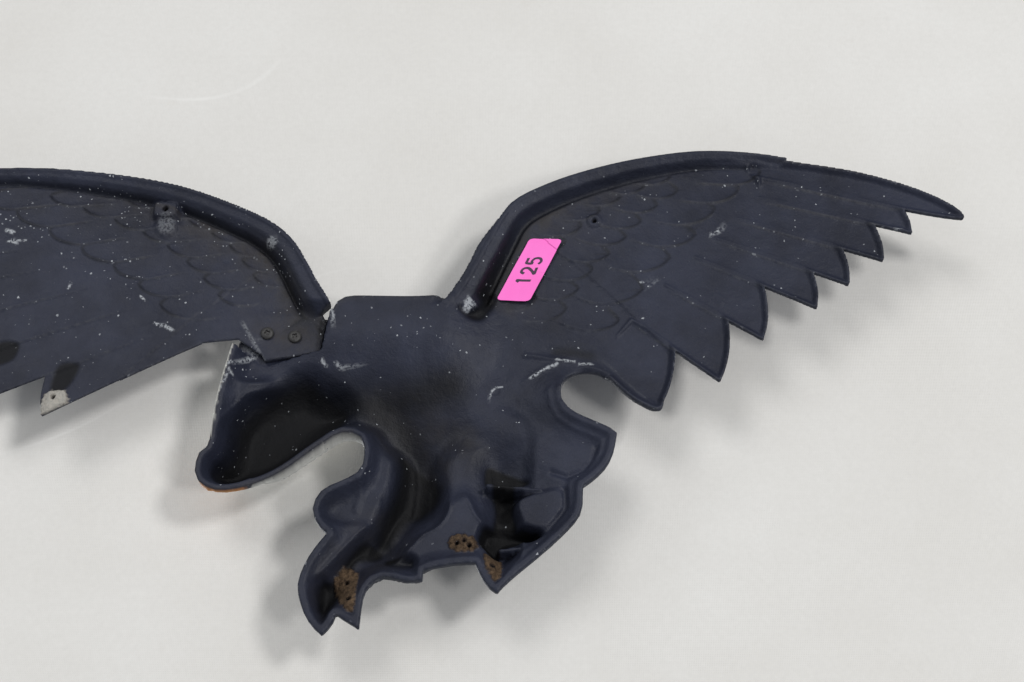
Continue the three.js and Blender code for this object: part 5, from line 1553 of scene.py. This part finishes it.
LABEL_WIDTH = 24.0
LABEL_LENGTH = 55.0
LABEL_THICKNESS = 0.4
LABEL_LIFT = 0.4
LABEL_LEAN = 0.46
LABEL_TILT = 0.07
LABEL_ROUND = 3.0
LABEL_CURL = 0.9
LABEL_CENTRE = wing_points([[0.153, 0.128]], FIXED)[0]
fixed_edge = np.array(wing_points(FIXED_EDGE_SHARES, FIXED))


def label_point(a, b, lift):
    """A place on the label, from -0.5 to 0.5 each way, and how far it is off the metal."""
    along, across = b * LABEL_LENGTH, a * LABEL_WIDTH
    x = LABEL_CENTRE[0] + across * math.cos(LABEL_TILT) - along * math.sin(LABEL_LEAN)
    z = LABEL_CENTRE[1] + across * math.sin(LABEL_TILT) + along * math.cos(LABEL_LEAN)
    metal = WALL - ROW_LIFT + FEATHER_LIFT / 2
    base = camber_at(np.array([x]), np.array([z]), fixed_edge)[0] - metal
    wave = 0.3 * (1 + math.sin(b * 9 + a * 3)) + LABEL_CURL * max(0, 6 * b - 2.2) * (0.5 + a) ** 2
    return (x, -(base - LABEL_LIFT - lift - wave), z)


def rounded_point(a, b, lift):
    """The same, with the corners of the label rounded off."""
    short = max(0, LABEL_ROUND - (0.5 - abs(b)) * LABEL_LENGTH)
    half = LABEL_WIDTH / 2 - LABEL_ROUND + math.sqrt(max(0, LABEL_ROUND**2 - short**2))
    return label_point(a * 2 * half / LABEL_WIDTH, b, lift)


def sheet_piece(name, columns, rows, at):
    """A thin closed sheet whose two faces come from at(i, j, side)."""
    points = [
        at(i / columns, j / rows, side)
        for side in (0, 1) for j in range(rows + 1) for i in range(columns + 1)
    ]
    faces = []

    def index(i, j, side):
        return (side * (rows + 1) + j) * (columns + 1) + i

    def wall(a, b):
        faces.append((index(*a, 0), index(*b, 0), index(*b, 1), index(*a, 1)))

    for j in range(rows):
        for i in range(columns):
            faces.append((index(i, j, 0), index(i + 1, j, 0), index(i + 1, j + 1, 0), index(i, j + 1, 0)))
            faces.append((index(i, j, 1), index(i, j + 1, 1), index(i + 1, j + 1, 1), index(i + 1, j, 1)))
    for i in range(columns):
        wall((i + 1, 0), (i, 0))
        wall((i, rows), (i + 1, rows))
    for j in range(rows):
        wall((0, j), (0, j + 1))
        wall((columns, j + 1), (columns, j))
    return closed_piece(name, points, faces)


label = sheet_piece(
    "lot_label_paper", 24, 84, lambda i, j, side: rounded_point(i - 0.5, j - 0.5, side * LABEL_THICKNESS)
)
DIGIT_SHARES = [
    [(0.3, 0.8), (0.5, 1.0), (0.5, 0.5), (0.5, 0.0)],
    [
        (0.1, 0.75), (0.3, 1.0), (0.75, 0.95), (0.85, 0.65), (0.5, 0.3), (0.08, 0.02), (0.5, 0.03),
        (0.95, 0.05),
    ],
    [
        (0.9, 1.0), (0.5, 0.98), (0.18, 0.96), (0.12, 0.55), (0.45, 0.64), (0.85, 0.5), (0.85, 0.15),
        (0.45, -0.02), (0.1, 0.1),
    ],
]
DIGIT_HEIGHT_SHARE = 0.42
DIGIT_WIDTH_SHARE = 0.115
DIGIT_PITCH_SHARE = 0.155
MARKER_WIDTH = 1.9
INK_GAP = 0.03
INK_THICKNESS = 0.06


def digit_piece(k, shares):
    """One digit of the label, drawn as the flat stroke of a marker."""
    placed = [
        ((py - 0.5) * DIGIT_HEIGHT_SHARE, (k - 1.35) * DIGIT_PITCH_SHARE + px * DIGIT_WIDTH_SHARE - 0.02)
        for px, py in spaced(shares, 40)
    ]
    flat = np.array([[a * LABEL_WIDTH, b * LABEL_LENGTH] for a, b in placed])
    ahead = np.gradient(flat, axis=0)
    normal = np.stack([-ahead[:, 1], ahead[:, 0]], 1) / np.hypot(*ahead.T)[:, None]

    def ink(i, j, side):
        at = round(j * (len(flat) - 1))
        a, b = flat[at] + normal[at] * (i - 0.5) * MARKER_WIDTH
        lift = LABEL_THICKNESS + INK_GAP + INK_THICKNESS * side
        return label_point(a / LABEL_WIDTH, b / LABEL_LENGTH, lift)

    return sheet_piece(f"label_digit_{k + 1}", 3, len(flat) - 1, ink)


digits = [digit_piece(k, shares) for k, shares in enumerate(DIGIT_SHARES)]


def label_material():
    n = Nodes("fluorescent_label")
    fibres = n.noise(900, 4, 0.6)
    colour = n.blend(n.noise(40, 2), (0.95, 0.145, 0.56, 1), (1.0, 0.21, 0.68, 1))
    normal = n.bump(fibres, 0.0002, 0.3)
    rough = n.math("ADD", 0.55, n.math("MULTIPLY", fibres, 0.15))
    return n.finish(Base_Color=colour, Roughness=rough, Normal=normal)


def ink_material():
    n = Nodes("marker_ink")
    patchy = n.noise(600, 3, 0.6)
    colour = n.blend(patchy, (0.02, 0.015, 0.03, 1), (0.07, 0.03, 0.07, 1))
    return n.finish(Base_Color=colour, Roughness=n.math("ADD", 0.5, n.math("MULTIPLY", patchy, 0.2)))


label.data.materials.append(label_material())
ink_paint = ink_material()
for piece in (label, *digits):
    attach(piece, "root")
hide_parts("lot_label")
for piece in digits:
    piece.data.materials.append(ink_paint)


# The cloth that the plaque lies on, face down; the camera sees it only from its own side

CLOTH_Y = -0.0515
CLOTH_SIZE = 6.0


def cloth_material():
    n = Nodes("pale_cloth")
    weaves = []
    for direction in ("X", "Z"):
        wave = n.add(
            "ShaderNodeTexWave",
            {"Vector": n.where(), "Scale": 260.0, "Distortion": 1.2, "Detail": 2.0, "Detail Scale": 0.4},
            bands_direction=direction,
        )
        weaves.append(wave.outputs["Fac"])
    weave = n.math("MULTIPLY", n.math("ADD", *weaves), 0.5)
    cloud = n.ramp(n.noise(4.0, 5, 0.6), 0.3, 0.7)
    colour = n.blend(cloud, (0.695, 0.680, 0.652, 1), (0.765, 0.757, 0.737, 1))
    threads = n.ramp(n.noise(230, 3, 0.7), 0.30, 0.75)
    colour = n.blend(n.math("MULTIPLY", threads, 0.16), colour, (0.52, 0.51, 0.48, 1))
    colour = n.blend(n.math("MULTIPLY", weave, 0.07), colour, (0.42, 0.41, 0.39, 1))
    spots = n.math("MULTIPLY", n.ramp(n.noise(9, 6, 0.8), 0.62, 0.75), 0.12)
    colour = n.blend(spots, colour, (0.42, 0.36, 0.27, 1))
    # Painted highlights: pale lines where folds in the cloth would catch the light
    line = n.math("ABSOLUTE", n.math("SUBTRACT", n.noise(1.7, 1, 0.3), 0.5))
    fold_highlights = n.math("MULTIPLY", n.ramp(line, 0.0012, 0.0003), n.ramp(n.noise(5, 2), 0.5, 0.6))
    colour = n.blend(n.math("MULTIPLY", fold_highlights, 0.2), colour, (0.93, 0.93, 0.92, 1))
    cloth = n.add("ShaderNodeBsdfDiffuse", {"Color": colour, "Normal": n.bump(weave, 0.0004, 0.3)})
    clear = n.add("ShaderNodeBsdfTransparent")
    back_side = n.add("ShaderNodeNewGeometry").outputs["Backfacing"]
    seen = n.add("ShaderNodeLightPath").outputs["Is Camera Ray"]
    through = n.math("MAXIMUM", back_side, n.math("SUBTRACT", 1.0, seen))
    shader = n.add("ShaderNodeMixShader", {0: through, 1: cloth.outputs[0], 2: clear.outputs[0]})
    n.add("ShaderNodeOutputMaterial", {"Surface": shader.outputs[0]})
    return n.material


half = CLOTH_SIZE / 2
cloth_mesh = bpy.data.meshes.new("pale_cloth")
cloth_mesh.from_pydata(
    [(-half, CLOTH_Y, -half), (-half, CLOTH_Y, half), (half, CLOTH_Y, half), (half, CLOTH_Y, -half)],
    [],
    [(0, 1, 2, 3)],
)
cloth = linked("pale_cloth", cloth_mesh)
cloth.data.materials.append(cloth_material())

# Light: ceiling lamps and a window on the back's side, and two lamps on the front's

world = bpy.data.worlds.new("studio")
bpy.context.scene.world = world
world.use_nodes = True
tree = world.node_tree
tree.nodes.clear()
soft = tree.nodes.new("ShaderNodeBackground")
soft.inputs["Color"].default_value = (0.94, 0.97, 1.0, 1)
soft.inputs["Strength"].default_value = 0.37
seen = tree.nodes.new("ShaderNodeBackground")
seen.inputs["Color"].default_value = (0.74, 0.73, 0.71, 1)
seen.inputs["Strength"].default_value = 1.0
path = tree.nodes.new("ShaderNodeLightPath")
choose = tree.nodes.new("ShaderNodeMixShader")
out = tree.nodes.new("ShaderNodeOutputWorld")
tree.links.new(path.outputs["Is Camera Ray"], choose.inputs[0])
tree.links.new(soft.outputs[0], choose.inputs[1])
tree.links.new(seen.outputs[0], choose.inputs[2])
tree.links.new(choose.outputs[0], out.inputs["Surface"])

LAMP_DISTANCE = 8.0


def lamp(name, towards, size, power, colour):
    """A round lamp that shines on the plaque from a direction."""
    data = bpy.data.lights.new(name, "AREA")
    data.shape = "DISK"
    data.size = size
    data.energy = power
    data.color = colour
    holder = linked(name, data)
    holder.location = Vector(towards).normalized() * LAMP_DISTANCE
    holder.rotation_euler = (-holder.location).to_track_quat("-Z", "Y").to_euler()


lamp("ceiling_low", (-36, 51.5, -22), 1.3, 130, (1.0, 0.99, 0.98))
lamp("ceiling_left", (-35, 51.5, 8), 1.5, 225, (1.0, 0.99, 0.98))
lamp("ceiling_high", (19, 51.5, 27), 3.4, 158, (1.0, 0.99, 0.98))
lamp("window", (80, 51.5, 10), 2.4, 55, (0.95, 0.98, 1.0))
lamp("front_key", (-36, -68, 60), 2.8, 336, (1.0, 0.98, 0.96))
lamp("front_fill", (58, -80, 9), 4.0, 160, (0.95, 0.97, 1.0))

# Camera: the photograph's tilt from below the plaque, behind it

TILT = math.radians(25)
DISTANCE = 1.131
CAMERA_X = -0.0834
CAMERA_Z = -0.0212
FOCAL_PIXELS = 1607
IMAGE_WIDTH = 1024  # pixels
SENSOR_WIDTH = 36.0
camera_data = bpy.data.cameras.new("camera")
camera_data.sensor_width = SENSOR_WIDTH
camera_data.lens = SENSOR_WIDTH * FOCAL_PIXELS / IMAGE_WIDTH
camera_data.clip_end = 50
camera = linked("camera", camera_data)
right = Vector((-1, 0, 0))
ahead = Vector((0, -math.cos(TILT), math.sin(TILT)))
upward = right.cross(ahead)
place = Vector((CAMERA_X, 0, CAMERA_Z)) - ahead * DISTANCE
turned = Matrix((right, upward, -ahead)).transposed()
camera.matrix_world = Matrix.Translation(place) @ turned.to_4x4()
bpy.context.scene.camera = camera
bpy.context.scene.view_settings.view_transform = "Standard"
